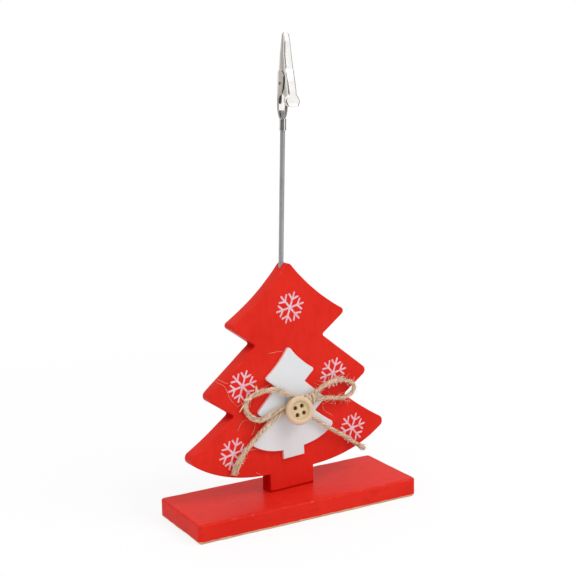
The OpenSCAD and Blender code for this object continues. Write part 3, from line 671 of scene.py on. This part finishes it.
def hairs(lines, radius, sides=3, crest=0.9):
    """Thin fibres with few sides along many lines at once, thinner at both ends, as one set of points and
    faces. The mark strand is the distance along each fibre and its number, so that each has a tone of its
    own."""
    count, steps = lines.shape[:2]
    ahead = unit(np.gradient(lines, axis=1))
    across = unit(np.cross(ahead, [0.3, 0.9, 0.31]))
    up = np.cross(across, ahead)
    thin = radius * np.sqrt(np.clip(1 - np.linspace(-0.8, 1, steps) ** 2, 0.04, 1))[None, :, None]
    angle = 2 * np.pi * np.arange(sides) / sides
    points = (lines[:, :, None] + (thin * np.cos(angle))[..., None] * across[:, :, None]
              + (thin * np.sin(angle))[..., None] * up[:, :, None])
    first = (np.arange(count) * steps * sides)[:, None, None]
    quads = np.array(skin(steps, sides))[None] + first
    ends = np.stack([np.arange(sides)[::-1], np.arange(sides) + (steps - 1) * sides])[None] + first
    faces = quads.reshape(-1, 4).tolist() + ends.reshape(-1, sides).tolist()
    gaps = np.linalg.norm(np.diff(lines, axis=1), axis=2)
    run = np.concatenate([np.zeros((count, 1)), np.cumsum(gaps, 1)], 1)
    strand = np.stack([run, np.repeat(np.arange(count)[:, None] * 1.7, steps, 1), 0 * run], -1) * MM
    return points.reshape(-1, 3), faces, {
        "crest": np.repeat(np.broadcast_to(crest, (count, steps)), sides, 1).ravel(),
        "strand": np.repeat(strand, sides, 1).reshape(-1, 3)}


def yarns(line, run, turns, count, seed, width):
    """The fine yarns that the plies are spun from, where they show on the twine: each winds round the line
    as far as the number turns says, wanders to both sides, and rises and sinks among its neighbours."""
    draw = np.random.default_rng(seed)
    _, across, up = square_to(line, inward)
    sway = np.stack([waver(run, seed + i, 16) for i in range(count)])
    rise = np.stack([waver(run, seed + 30 + i, 9) for i in range(count)])
    angle = 2 * np.pi * (turns + draw.uniform(0, 1, (count, 1)) + 0.10 * sway)
    distance = twine_radius * (0.74 + 0.13 * rise)
    return (line[None] + (distance * width * np.cos(angle))[..., None] * across[None]
            + (distance * np.sin(angle))[..., None] * up[None])


def fuzz(line, count, seed, longest, lift, towards=inward):
    """Loose fibres of a twine: each leaves its surface at a random place, runs on nearly along it and curls
    away, as start + along * t + out * t ** 1.5 + side * t ** 2."""
    draw = np.random.default_rng(seed)
    ahead, across, up = square_to(line, towards)
    at = draw.integers(1, len(line) - 1, count)
    angle, bend = draw.uniform(0, 2 * np.pi, (2, count, 1))
    out = np.cos(angle) * across[at] + np.sin(angle) * up[at]
    side = np.cos(bend) * ahead[at] + np.sin(bend) * np.cross(ahead[at], out)
    along = ahead[at] * draw.choice([-1, 1], (count, 1))
    length = longest * draw.uniform(0.25, 1, (count, 1)) ** 1.5
    t = np.linspace(0, 1, 6)[None, :, None]
    start = line[at] + out * twine_radius * 0.72
    return (start[:, None] + (along * length)[:, None] * t * 0.75
            + (out * length * lift)[:, None] * t ** 1.5 * 0.6 + (side * length)[:, None] * t ** 2 * 0.45)


def tuft(start, end, spread, count, seed):
    """Fibres that leave the twine side by side and stay together: each runs from about start to about end,
    with a bend of its own that is greatest halfway."""
    draw = np.random.default_rng(seed)
    first = np.asarray(start) + draw.normal(0, 0.5 * spread, (count, 1, 3))
    last = np.asarray(end) + draw.normal(0, spread, (count, 1, 3)) * [1, 0.4, 1]
    bend = draw.normal(0, 0.4 * spread, (count, 1, 3))
    t = np.linspace(0, 1, 6)[None, :, None] * draw.uniform(0.55, 1, (count, 1, 1))
    return first + (last - first) * t + bend * t * (1 - t) * 4


# Width along each stretch as a share of the twine's diameter, at shares of its length. Frayed ends are wide.
bow_widths = {
    "bow_loop_left": [(0, 0.9), (0.12, 1.1), (0.25, 1.35), (0.38, 1.1), (0.5, 1.15), (0.64, 1.35), (0.82, 1),
                      (1, 0.9)],
    "bow_loop_right": [(0, 1.1), (0.2, 0.95), (0.5, 0.82), (0.8, 0.78), (1, 1.1)],
    "bow_tail_left": [(0, 0.92), (0.6, 0.95), (0.74, 1.0), (0.83, 1.5), (0.9, 1.95), (1, 2.3)],
    "bow_tail_right": [(0, 0.88), (0.89, 0.88), (0.93, 1.45), (0.97, 1.95), (1, 2.05)]}
unlaid_from = {"bow_tail_left": 0.72, "bow_tail_right": 0.93}
long_fibres = {"bow_loop_left": 90, "bow_loop_right": 180}
bow_tufts = [[(-20.6, -2.8, 50.2), (-24.2, -3.2, 50.6), 0.24],
             [(-17.8, -2.8, 51.8), (-18.4, -3.4, 55.6), 0.27],
             [(-23.2, -2.0, 48.5), (-26.0, -2.6, 45.6), 0.07]]
stray_depth = -0.12
stray_fibres = [
    [(-34.9, 60.6), (-33.1, 59.4), (-31.1, 58.2), (-29.1, 57.2)],
    [(-35.9, 59.7), (-33.7, 58.3), (-31.4, 56.9), (-30.0, 54.5), (-29.0, 51.7), (-27.3, 49.4), (-25.0, 46.8)],
    [(-10.4, 66.7), (-8.0, 66.8), (-5.2, 66.8), (-3.2, 66.4)], [(-12.3, 53.1), (-10.4, 53.8), (-8.6, 53.8)],
    [(-25.6, 37.2), (-24.3, 39.6), (-22.8, 40.9), (-20.4, 41.0)],
    [(-19.1, 34.1), (-17.8, 36.5), (-17.3, 38.8)], [(-20.3, 27.9), (-18.5, 28.1), (-16.4, 27.8)],
    [(-17.6, 18.3), (-16.5, 17.5), (-15.4, 16.9)],
    [(15.6, 41.5), (15.7, 39.7), (17.0, 37.7), (19.9, 35.7), (21.1, 34.3)],
    [(18.8, 41.0), (20.6, 40.4), (22.5, 40.2)], [(27.4, 24.0), (28.0, 23.0), (28.6, 21.9)]]

for number, (name, route) in enumerate(bow_routes.items()):
    line, run = smooth_route(route, twine_step)
    width = np.interp(run / run[-1], *np.transpose(bow_widths[name]))
    unlaid = unlaid_from.get(name, 1) * run[-1]
    turns = np.minimum(run, unlaid) / (slack_lay if name == "bow_loop_left" else twine_lay)
    points, marks = twine(line, run, turns, core_share * twine_radius, number + 20,
                          width=np.minimum(width, widest_core))
    marks["crest"] = marks["crest"] * groove_shade_share
    spun = yarns(line[::2], run[::2], turns[::2], yarn_count, number + 120, width[::2])
    yarn_crest = 0.8 + 0.75 * (run[::2] > unlaid + fray_after)
    cord_shells = [shell(points, marks), hairs(spun, yarn_radius, 5, yarn_crest)]
    cord = jute_piece(name + "_twine", cord_shells, [name])
    loose = fuzz(line, fibre_count, number + 40, longest=2.0, lift=0.7)
    if name == "bow_tail_left":
        loose = np.concatenate([loose, fuzz(line[frayed_part], frayed_count, number + 60, 2.4, 1.2)])
    fibre_shells = [hairs(loose[::2], fibre_radius), hairs(loose[1::2], fibre_radius, crest=bleached)]
    if name == "bow_loop_left":
        tufts = np.concatenate([tuft(*ends, tuft_count, 80 + i) for i, ends in enumerate(bow_tufts)])
        fibre_shells.append(hairs(tufts, tuft_radius, crest=bleached))
    if name in long_fibres:
        long_fuzz = fuzz(line, long_fibres[name], number + 160, longest=5.0, lift=0.8)
        fibre_shells.append(hairs(long_fuzz, long_fibre_radius, crest=1.5))
    fibres = jute_piece(name + "_fibres", fibre_shells)
    path = moved(line[::6], tree_place) * MM

# Single fibres that lie on the paint beside the bow, across and in height.
stray_lines = []
for way in stray_fibres:
    fine, _ = smooth_route([(x, stray_depth, z) for x, z in way], 0.1)
    stray_lines.append(fine[np.linspace(0, len(fine) - 1, 16).astype(int)])
jute_piece("bow_stray_fibres", [hairs(np.array(stray_lines), stray_radius, crest=1.4)])


# The knot: the twine's own wraps, pulled tight and pressed flat between the small tree and the button.
# Its right end shows beside the button, and its fibres stand out there.
knot_from, knot_to, knot_middle, knot_up = 8.7, -0.1, -3.54, 45.5
wrap_count, wrap_depth, wrap_height, wrap_radius, wrap_steps = 5.5, 1.2, 1.72, 0.72, 420
wraps = np.linspace(0, 1, wrap_steps)
wrap_angle = 2 * np.pi * wrap_count * wraps
knot_line = np.stack([knot_from + (knot_to - knot_from) * wraps,
                      knot_middle + wrap_depth * np.cos(wrap_angle),
                      knot_up + 0.4 * waver(wraps * 10, 5, 6) + wrap_height * np.sin(wrap_angle)], -1)
knot_run = distance_along(knot_line)
knot_rings = twine(knot_line, knot_run, knot_run / twine_lay, wrap_radius, 31, sideways, around=28)
jute_piece("bow_knot_twine", [shell(*knot_rings)], ["bow_knot"])
knot_fuzz = fuzz(knot_line[:wrap_steps // 3], 300, 71, longest=2.2, lift=0.8, towards=sideways)
jute_piece("bow_knot_fibres", [hairs(knot_fuzz, 0.055, crest=1.3)])


# The button: turned from pale close-grained wood with a rounded rim, a dished middle and four drilled sewing
# holes. It is glued over the knot, leans back a little and faces a little to the left. A dab of glue under
# it is coloured dark brown as painted shade, so that the holes show dark.
button_radius, button_thick, button_dish, button_dip = 5.9, 2.5, 3.55, 0.9
hole_radius, hole_pitch, hole_turn, button_tilt, button_yaw = 0.9, 3.0, 13, 10, 11
button_at, tool_mark, button_steps = (0.0, -5.585, 42.6), 0.05, 96
tool_rings = [(button_dish + 0.05, 0.10, 1.0), (button_dish - 0.45, 0.07, 0.7),
              (button_radius - 1.2, 0.08, 0.25)]
rim_wood, dish_wood = (0.75, 0.55, 0.38, 1), (0.72, 0.57, 0.34, 1)
grain_wood, ring_wood = (0.56, 0.38, 0.20, 1), (0.38, 0.24, 0.10, 1)
# Glue coloured as painted shade, seen through the sewing holes.
glue_deep_shade, glue_light_shade = (0.170, 0.085, 0.030, 1), (0.260, 0.140, 0.055, 1)


def turned_wood():
    """Fine-grained wood with one tone on the rim and one in the dish, darker where the tool left rings."""
    f = Finish("turned_pale_wood")
    grain = f.noise(f.place(), (300, 1500, 2600), 5, 0.65)
    rings = f.mark("ring")
    tone = f.mixed(f.mark("dish"), rim_wood, dish_wood)
    tone = f.mixed(grain.rise(0.75, 0.25) * 0.45, tone, grain_wood)
    return f.surface(Base_Color=f.mixed(rings * 0.55, tone, ring_wood), Roughness=0.5 + grain * 0.15,
                     Specular_IOR_Level=0.3, Normal=f.bump(grain + rings * 0.4, 0.00005, 0.6))


button_place = tree_place @ shifted(*button_at) @ turned("Z", -button_yaw) @ turned("X", 90 - button_tilt)
rim = evened(rounded([[0.05, 0], [button_radius, 0], [button_radius, button_thick],
                      [button_dish + 0.7, button_thick], [button_dish, button_thick - button_dip],
                      [0.05, button_thick - button_dip - 0.08]], [0.8, 1.15, 0.4, 0.4], 10), 0.14)
upper = rim[:, 1] > button_thick / 2
turning = upper * sum(size * np.exp(-((rim[:, 0] - at) / wide) ** 2) for at, wide, size in tool_rings)
rim[:, 1] -= tool_mark * turning
inside = upper * np.clip((button_dish + 0.6 - rim[:, 0]) / 0.5, 0, 1)
button_marks = {"ring": np.repeat(turning, button_steps), "dish": np.repeat(inside, button_steps)}
button = piece("button_turned", [shell(lathe(rim, button_steps), button_marks)], turned_wood(), "button_wood",
               ["button"], at=button_place)
hole = rounded([[1.15, -1], [hole_radius + 0.1, 0], [hole_radius - 0.05, 0.3], [hole_radius - 0.05, 1.3],
                [hole_radius + 0.12, 1.6], [1.3, 2.6]], [0.1, 0.1, 0.1, 0.1], 3)
bored(button, [shell(lathe(hole, 28) + [hole_pitch / 2 * x, hole_pitch / 2 * y, 0])
               for x in (-1, 1) for y in (-1, 1)], button_place @ turned("Z", hole_turn))
# The glue's dark brown stands in as painted shade inside the sewing holes.
glue = clouded("glue_dark_as_shade", 1200, glue_deep_shade, glue_light_shade, 0.0, 0.35, 0.2, depth=0.00004, strength=0.5)
dab = rounded([[0.05, -1.1], [2.4, -1.1], [3.5, -0.05], [0.05, -0.05]], [0.5, 0.08], 4)
piece("button_glue", [shell(lathe(dab, 28))], glue, "button_wood", at=button_place)


# The rod: drawn steel wire, cut to length with its upper end rounded, and glued into the hole in the tree's
# tip. Fine drawing lines run along it, and handling has left it dull.
stem_free, barrel_length, stem_over = 51.6, 4.7, 3.2
dark_steel, grey_steel = (0.33, 0.345, 0.36, 1), (0.62, 0.64, 0.66, 1)


def drawn_steel():
    """Dull steel with a cloudy tone and fine lines along it."""
    f = Finish("drawn_steel")
    place = f.place()
    lines = f.noise(place, (5000, 5000, 60), 4, 0.7)
    cloud = f.noise(place, 180, 3)
    return f.surface(Base_Color=f.mixed(cloud * 0.6 + lines * 0.4, dark_steel, grey_steel), Metallic=0.85,
                     Roughness=0.52 + cloud * 0.15, Normal=f.bump(lines, 0.00002, 0.5))


stem_top = stem_free + barrel_length + stem_over
stem_profile = rounded([[0.05, -stem_seat], [stem_radius, -stem_seat], [stem_radius, stem_top],
                        [0.05, stem_top + 0.02]], [0.2, 0.62], 8)
piece("rod", [shell(lathe(evened(stem_profile, 2.0), 40))], drawn_steel(), "rod_steel", ["stem_rod"],
      at=stem_place)


# The rear jaw: one strip of nickel-plated sheet steel pressed into a trough, with two ears for the pivot and
# a barrel at its foot that is rolled round the rod and crimped.
sheet, pivot_height, pivot_forward, jaw_lean = 0.4, 18.4, 1.0, 1.0
barrel_radius, seam_turn, arc_steps = 1.42, 33, 48
nose_length, tip_width, least_bend, jaw_sharp = 19.7, 2.5, 0.08, 50
edge_steps = ((0.03, 0.03), (0.12, 0), (sheet - 0.12, 0), (sheet - 0.03, 0.03), (sheet, 0.1))
# Dark steel: bare on the sheared wall edges, and painted shade in the slit between the jaws, inside and in
# the bore.
wall_bare_and_shade, inner_shade, barrel_outer_dark, bore_shade, rear_shade_from = 0.55, 0.8, 0.2, 0.9, -4.0
soft_nickel, bright_nickel, bare_steel_and_shade = (0.88, 0.86, 0.83, 1), (0.94, 0.93, 0.91, 1), (0.085, 0.060, 0.045, 1)
pivot_place = (stem_place @ shifted(0, -pivot_forward, stem_free + barrel_length) @ turned("Y", jaw_lean)
               @ shifted(0, 0, pivot_height - barrel_length))


def nickel_plate():
    """Bright, faintly cloudy, brushed plating. Its dark mark gives bare sheared edges and painted shade in
    slits and hollows.
    """
    f = Finish("nickel_plate")
    place = f.place()
    bare_and_shade = f.mark("bare_and_shade")
    cloud = f.noise(place, 320, 3)
    brush = f.noise(place, (2600, 2600, 300), 4, 0.6)
    plate = f.mixed(cloud.rise(0.3, 0.7), soft_nickel, bright_nickel)
    return f.surface(Base_Color=f.mixed(bare_and_shade * (brush * 0.3 + 0.8), plate, bare_steel_and_shade), Metallic=1.0,
                     Roughness=0.09 + cloud * 0.06 + bare_and_shade * 0.3, Normal=f.bump(brush + cloud, 0.00001, 0.3))


def pressed(half, free, back, bend, shade_from, crown=0.05, caps=(False, True)):
    """A trough pressed from sheet. half is the right half of its outline from the front, from the tip's
    Each ring runs from the web's middle round the outer bend, along the wall, over its rounded free edge and
    back inside, and is mirrored. The walls and bends step in square to the outline, so they go round the tip
    as well. The dark mark lies along the wall to its sheared edge, bare steel there and painted shade of the
    slit between the jaws, and more of it on the inner side above the given height, painted shade of the
    clip's dark inside."""
    ahead = unit(np.gradient(half, axis=0))
    out = np.stack([-ahead[:, 1], ahead[:, 0]], -1)
    side = np.sign(back(0.0) - free(0.0))
    depth = np.abs(back(half[:, 1]) - free(half[:, 1]))
    outer = np.minimum(bend(half[:, 1]), 0.8 * (depth - 0.12))
    inner = np.maximum(outer - sheet, least_bend)
    quarter = np.radians(np.linspace(90, 0, 6))

    def column(inset, level):
        """The outline moved inwards by inset, at the depth that level gives for a height."""
        flat = half - inset[:, None] * out
        flat[:, 0] = np.maximum(flat[:, 0], 0)
        return np.stack([flat[:, 0], level(flat[:, 1]), flat[:, 1]], -1)

    outside = [column(outer * (1 - np.cos(a)), lambda z, a=a: back(z) - side * outer * (1 - np.sin(a)))
               for a in quarter]
    wall = [column(0 * outer, lambda z, t=t: (back(z) - side * outer) * (1 - t) + (free(z) + side * 0.1) * t)
            for t in (0.33, 0.67, 1)]
    edge = [column(0 * outer + i, lambda z, d=d: free(z) + side * d) for i, d in edge_steps]
    wall_in = [column(0 * outer + sheet, lambda z, t=t: (back(z) - side * (sheet + inner)) * t
                      + (free(z) + side * 0.1) * (1 - t)) for t in (0.33, 0.67)]
    inside = [column(sheet + inner * (1 - np.cos(a)),
                     lambda z, a=a: back(z) - side * (sheet + inner * (1 - np.sin(a))))
              for a in quarter[::-1]]

    def web(beside, shares):
        """Columns at shares of the way from the middle to the bend, raised by crown * (1 - share ** 2)."""
        return [beside * [t, 1, 1] + np.array([0, side * crown * (1 - t * t), 0]) for t in shares]

    right = np.stack(web(outside[0], (0, 0.33, 0.67)) + outside + wall + edge + wall_in + inside
                     + web(inside[-1], (0.67, 0.33, 0)), 1)
    deep = inner_shade * np.clip((half[:, 1:] - shade_from) / 1.5, 0, 1)
    bare_and_shade = np.concatenate([np.tile([0.0] * 9 + [wall_bare_and_shade] * 5, (len(half), 1)), np.repeat(deep, 14, 1)], 1)
    return shell(np.concatenate([right, right[:, ::-1][:, 1:-1] * [-1, 1, 1]], 1),
                 {"bare_and_shade": np.concatenate([bare_and_shade, bare_and_shade[:, ::-1][:, 1:-1]], 1).ravel()}, caps)


def by_height(points, radii, steps=6):
    """A function of height from a broken line with rounded corners, given as values and heights, from the top
    down."""
    line = rounded(points, radii, steps)[::-1]
    return lambda z: np.interp(z, line[:, 1], line[:, 0])


def nose_half(rest, radii):
    """Right half of a jaw's outline from the front: round tip, then the given corners as width and height."""
    a = np.radians(np.linspace(90, 14, 12))[:, None]
    tip = [0, nose_length - tip_width / 2] + tip_width / 2 * np.concatenate([np.cos(a), np.sin(a)], 1)
    return evened(np.concatenate([tip, rounded([tip[-1], *rest], radii, 5)[1:]]), 0.3)


def barrel():
    """A strip rolled round the rod with a seam at -Y: an outer and an inner arc with square ends, carried up
    through rows of height and outer radius, with a shallow crimp round its middle. The dark mark is slight
    outside, and high on the inside as painted shade in the bore."""
    turn = np.radians(np.concatenate([np.linspace(-80, 260, arc_steps), np.linspace(255, -75, arc_steps)]))
    ring = np.stack([np.cos(turn), np.sin(turn)], -1)
    rows = np.array([[0.0, 1.34], [0.06, 1.40], [0.2, 1.42], [1.2, 1.42], [1.9, 1.37], [2.8, 1.37],
                     [3.5, 1.42], [4.5, 1.42], [4.64, 1.40], [4.7, 1.34]])
    outer = np.arange(2 * arc_steps)[None, :] < arc_steps
    radius = np.where(outer, rows[:, 1:], barrel_radius - sheet + 0.01)
    height = np.repeat(rows[:, :1] + stem_free, 2 * arc_steps, 1)
    bare_and_shade = np.repeat(np.where(outer, barrel_outer_dark, bore_shade), len(rows), 0)
    return np.concatenate([ring[None] * radius[..., None], height[..., None]], -1), {"bare_and_shade": bare_and_shade.ravel()}


rear_half = nose_half([[1.7575, 11.4], [1.85, 5.4175], [2.4, 4.63], [2.4, -5.516], [2.328, -8.274],
                       [2.232, -10.638], [1.872, -12.608], [1.42, -13.7]], [2, 0.6, 0.6, 2, 4, 4, 2])
rear_free = by_height([[0.901, 20.7], [-0.5035, 4.75], [-1.431, 4.137], [-2.279, 2.857], [-2.385, 0.394],
                       [-1.908, -1.97], [-0.848, -4.098], [1.02, -5.516], [1.02, -14.2]],
                      [0.4, 0.6, 0.8, 1.5, 2, 2, 1])
rear_back = by_height([[1.901, 20.7], [2.42, 0], [2.42, -14.2]], [4])
rear_bend = by_height([[0.45, 20], [0.55, -10], [1.42, -13.7]], [0])
rolled, rolled_marks = barrel()
to_pivot = np.linalg.inv(pivot_place) @ stem_place @ turned("Z", -seam_turn)
nickel = nickel_plate()
piece("rear_jaw", [pressed(rear_half, rear_free, rear_back, rear_bend, rear_shade_from),
                   shell(moved(rolled, to_pivot), rolled_marks)],
      nickel, "clip_nickel", ["clip_rear_jaw"], at=pivot_place, sharp=jaw_sharp)


# The front jaw: a second pressed trough that closes on the first, with side walls that turn on the pivot
# between the ears and a flared thumb tab below.
lobe_radius, front_crown, front_shade_from = 1.696, 0.03, -2.5
lobe = np.radians(np.linspace(60, -60, 13))
front_half = nose_half([[1.7575, 11.4], [1.85, 5.4175], [1.95, 4.63], [1.95, -4.14], [2.55, -4.75],
                        [3.2, -5.7], [3.38, -6.9], [2.5, -8.75], [1.2, -9.0], [0, -9.0]],
                       [2, 0.3, 0.3, 0.5, 2, 1.2, 1.1, 1.2, 0.5])
front_back = by_height([[0.251, 20.7], [-0.954, 16.154], [-1.643, 11.426], [-3.021, 5.91], [-4.558, 0.985],
                        [-5.565, -2.7], [-5.83, -4.5], [-5.989, -6.21], [-6.307, -7.65], [-6.89, -9.2]],
                       [8, 8, 8, 8, 6, 4, 4, 3])
front_free = by_height([[0.851, 20.7], [-0.5535, 4.63],
                        *(lobe_radius * np.stack([np.cos(lobe), np.sin(lobe)], -1)).tolist(),
                        [-0.53, -4.05], [-3.7, -4.25], [-4.23, -4.6], [-4.389, -6.21], [-4.707, -7.65],
                        [-5.4, -9.2]], [1.0] + [0] * 13 + [0.06, 0.15, 0.3, 2, 2])
front_bend = by_height([[0.45, 20], [0.55, -3], [0.6, -6]], [0])
front_shell = pressed(front_half, front_free, front_back, front_bend, front_shade_from, front_crown,
                      caps=(False, False))
piece("front_jaw_pressed", [front_shell], nickel, "clip_nickel", ["clip_front_jaw"], "front_jaw",
      pivot_place, jaw_sharp)


# The pivot: a steel pin through the ears and the front jaw's walls. Both of its ends are riveted over into
# hollow heads.
pin_radius, pin_head, ear_half, pin_steps = 0.6, 0.9, 2.4, 32
# Painted shade: dark steel in the pin's hollow heads, lighter on the rest of it.
hollow_within, hollow_shade, head_shade = 0.75, 1.0, 0.4
pin_half = rounded([[0.05, ear_half - 0.35], [0.36, ear_half - 0.3], [0.5, ear_half + 0.2],
                    [pin_head, ear_half + 0.12], [pin_head, ear_half + 0.01], [pin_radius, ear_half + 0.01],
                    [pin_radius, 0]], [0.12, 0.08, 0.07, 0.03, 0.0], 4)
pin_profile = np.concatenate([pin_half, pin_half[-2::-1] * [1, -1]])
pin_shade = np.repeat(np.where(pin_profile[:, 0] < hollow_within, hollow_shade, head_shade), pin_steps)
piece("pivot_pin", [shell(lathe(pin_profile, pin_steps), {"bare_and_shade": pin_shade})], nickel, "clip_nickel",
      ["clip_pivot_pin"], at=pivot_place @ turned("Y", 90))


# The spring: steel wire wound one and a half turns round the pin, with a leg up the rear jaw's back and a leg
# down to the thumb tab.
wire_radius, coil_radius, coil_pitch = 0.375, 1.2, 1.17
spring_from, spring_to, back_leg, tab_leg = 2.5, 506.0, 8.1, 6.2
dark_wire, grey_wire = (0.16, 0.15, 0.14, 1), (0.36, 0.34, 0.31, 1)
coil_turn = np.linspace(spring_from, spring_to, 90)
coil_angle = np.radians(coil_turn)
coil = np.stack([coil_pitch * (coil_turn - (spring_from + spring_to) / 2) / 360,
                 coil_radius * np.cos(coil_angle), coil_radius * np.sin(coil_angle)], -1)
leg = np.linspace(0, 1, 16)[:, None]
first_way, last_way = [np.array([0, -np.sin(a), np.cos(a)]) for a in np.radians([spring_from, spring_to])]
spring_line = np.concatenate([coil[0] - first_way * back_leg * (1 - leg[:-1]), coil,
                              coil[-1] + last_way * tab_leg * leg[1:]])
_, across, up = square_to(spring_line, sideways)
round_wire = np.linspace(0, 2 * np.pi, 14, endpoint=False)[None, :, None]
wire_size = wire_radius * np.concatenate([[0.6, 0.9], np.ones(len(spring_line) - 4), [0.9, 0.6]])
spring_rings = spring_line[:, None] + wire_size[:, None, None] * (
    np.cos(round_wire) * across[:, None] + np.sin(round_wire) * up[:, None])
wire = clouded("spring_wire", 900, dark_wire, grey_wire, metal=1.0, roughness=0.32, spread=0.15)
spring = piece("torsion_spring", [shell(spring_rings)], wire, "spring_steel", ["clip_spring"], body=None,
               at=pivot_place)
[((pivot_place @ [x, 0, 0, 1])[:3] * MM).tolist() for x in (-0.5, 0.5)]
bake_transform(spring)


# The studio: a wide pale floor that keeps the faint shadow, one large soft lamp from the upper right in front
# and a weak one from the left, and a white surround for the camera and for reflections. Polished metal also
# shows a few dimmer tones of the room beyond the table.
object_middle, floor_half, floor_fades, shadow_share = (0, 0, 90), 3000, (220, 450), 0.20
floor_grey, floor_glow, sky_light = (0.86, 0.86, 0.86, 1), 1.03, 0.71
white_card = (1, 1, 1, 1)
room_tones = [(-180, white_card), (-160, (0.90, 0.85, 0.80, 1)), (-115, (0.17, 0.14, 0.13, 1)),
              (15, white_card), (56, (0.05, 0.05, 0.05, 1)), (84, (0.42, 0.42, 0.42, 1)), (146, white_card)]


def seen_directly(finish):
    """1 for the camera and in reflections and clear glass, 0 for the light that falls on the object."""
    camera, gloss, clear = [finish.node("LightPath", output=kind) for kind in
                            ("Is Camera Ray", "Is Glossy Ray", "Is Transmission Ray")]
    return camera.maths("MAXIMUM", camera.maths("MAXIMUM", camera, gloss), clear)


def room(finish, way, open_white):
    """What metal shows of the room beyond the table: each tone lies from its azimuth in degrees to the next
    one's. way is a direction or a place on the floor, and where open_white is 1 the tone is white."""
    x, y = [finish.node("SeparateXYZ", {}, {"Vector": way}, output=axis) for axis in "XY"]
    azimuth = x.maths("ARCTAN2", x, y * -1)
    tone = room_tones[0][1]
    for start, colour in room_tones[1:]:
        tone = finish.mixed(azimuth.rise(*np.radians([start - 5, start + 5]).tolist()), tone, colour)
    gloss = finish.node("LightPath", output="Is Glossy Ray")
    return finish.mixed(gloss * (1 - open_white), white_card, tone)


pale_floor = Finish("pale_floor")
floor_place = pale_floor.node("NewGeometry", output="Position")
far_off = pale_floor.node("VectorMath", {"operation": "LENGTH"}, {0: floor_place}, output="Value")
far_off = far_off.rise(*[reach * MM for reach in floor_fades])
plain = pale_floor.node("BsdfDiffuse", {}, {"Color": floor_grey})
glow = pale_floor.node("Emission", {}, {"Color": room(pale_floor, floor_place, 1 - far_off),
                                        "Strength": floor_glow})
lit = seen_directly(pale_floor) * (1 - shadow_share + far_off * shadow_share)
floor_shader = pale_floor.node("MixShader", {}, {0: lit, 1: plain, 2: glow})
pale_floor.node("OutputMaterial", {}, {"Surface": floor_shader})
floor_mesh = bpy.data.meshes.new("floor")
floor_corners = [(x * floor_half * MM, y * floor_half * MM, 0)
                 for x, y in ((-1, -1), (1, -1), (1, 1), (-1, 1))]
floor_mesh.from_pydata(floor_corners, [], [(0, 1, 2, 3)])
floor_mesh.materials.append(pale_floor.owner)
added("floor", floor_mesh)

bpy.context.scene.world = bpy.data.worlds.new("studio")
sky = Finish("studio", bpy.context.scene.world)
sky_way = sky.node("TexCoord", output="Generated")
sky_back, sky_up = [sky.node("SeparateXYZ", {}, {"Vector": sky_way}, output=axis) for axis in "YZ"]
sky_open = sky_up.maths("MAXIMUM", sky_up.rise(0.45, 0.70), sky_up.rise(0.02, 0.12) * sky_back.rise(0.1, 0.4))
surround = sky.node("Background", {}, {"Color": room(sky, sky_way, sky_open),
                                       "Strength": seen_directly(sky) * (1 - sky_light) + sky_light})
sky.node("OutputWorld", {}, {"Surface": surround})


def facing(target, azimuth, elevation, distance, roll=0.0):
    """The matrix of a lamp or camera that faces the target from a distance, in millimetres. Azimuth 0 is in
    front and 90 to the right, and roll turns it about its own view."""
    a, e, turn = np.radians([azimuth, elevation, roll])
    behind = np.array([np.sin(a) * np.cos(e), -np.cos(a) * np.cos(e), np.sin(e)])
    level = unit(np.cross([0, 0, 1.0], behind))
    upward = np.cross(behind, level)
    place = shifted(*((np.array(target) + behind * distance) * MM))
    place[:3, :3] = np.stack([level * np.cos(turn) + upward * np.sin(turn),
                              upward * np.cos(turn) - level * np.sin(turn), behind], 1)
    return Matrix(place.tolist())


def lamp(name, azimuth, elevation, distance, size, power):
    """A square soft lamp that faces the object's middle."""
    data = bpy.data.lights.new(name, "AREA")
    data.size, data.energy = size * MM, power
    added(name, data).matrix_world = facing(object_middle, azimuth, elevation, distance)


lamp("key_lamp", 35, 48, 1200, 700, 5.7)
lamp("fill_lamp", -75, 42, 1400, 900, 2.4)
bpy.context.scene.view_settings.view_transform = "Standard"


# The camera: it stands to the left in front, a little above, and looks at the holder's middle. Its lens and
# small roll are fitted to the corners of the plank and the trees.
camera_target, camera_azimuth, camera_elevation = (0.872, 0.0, 92.177), -29.361, 11.428
camera_distance, camera_roll = 519.559, -1.113
focal_pixels, picture_pixels, sensor_width = 1295.064, 576, 36
camera = added("camera", bpy.data.cameras.new("camera"))
camera.data.sensor_width = sensor_width
camera.data.lens = sensor_width * focal_pixels / picture_pixels
camera.data.clip_start, camera.data.clip_end = 0.01, 20
camera.matrix_world = facing(camera_target, camera_azimuth, camera_elevation, camera_distance, camera_roll)
bpy.context.scene.camera = camera
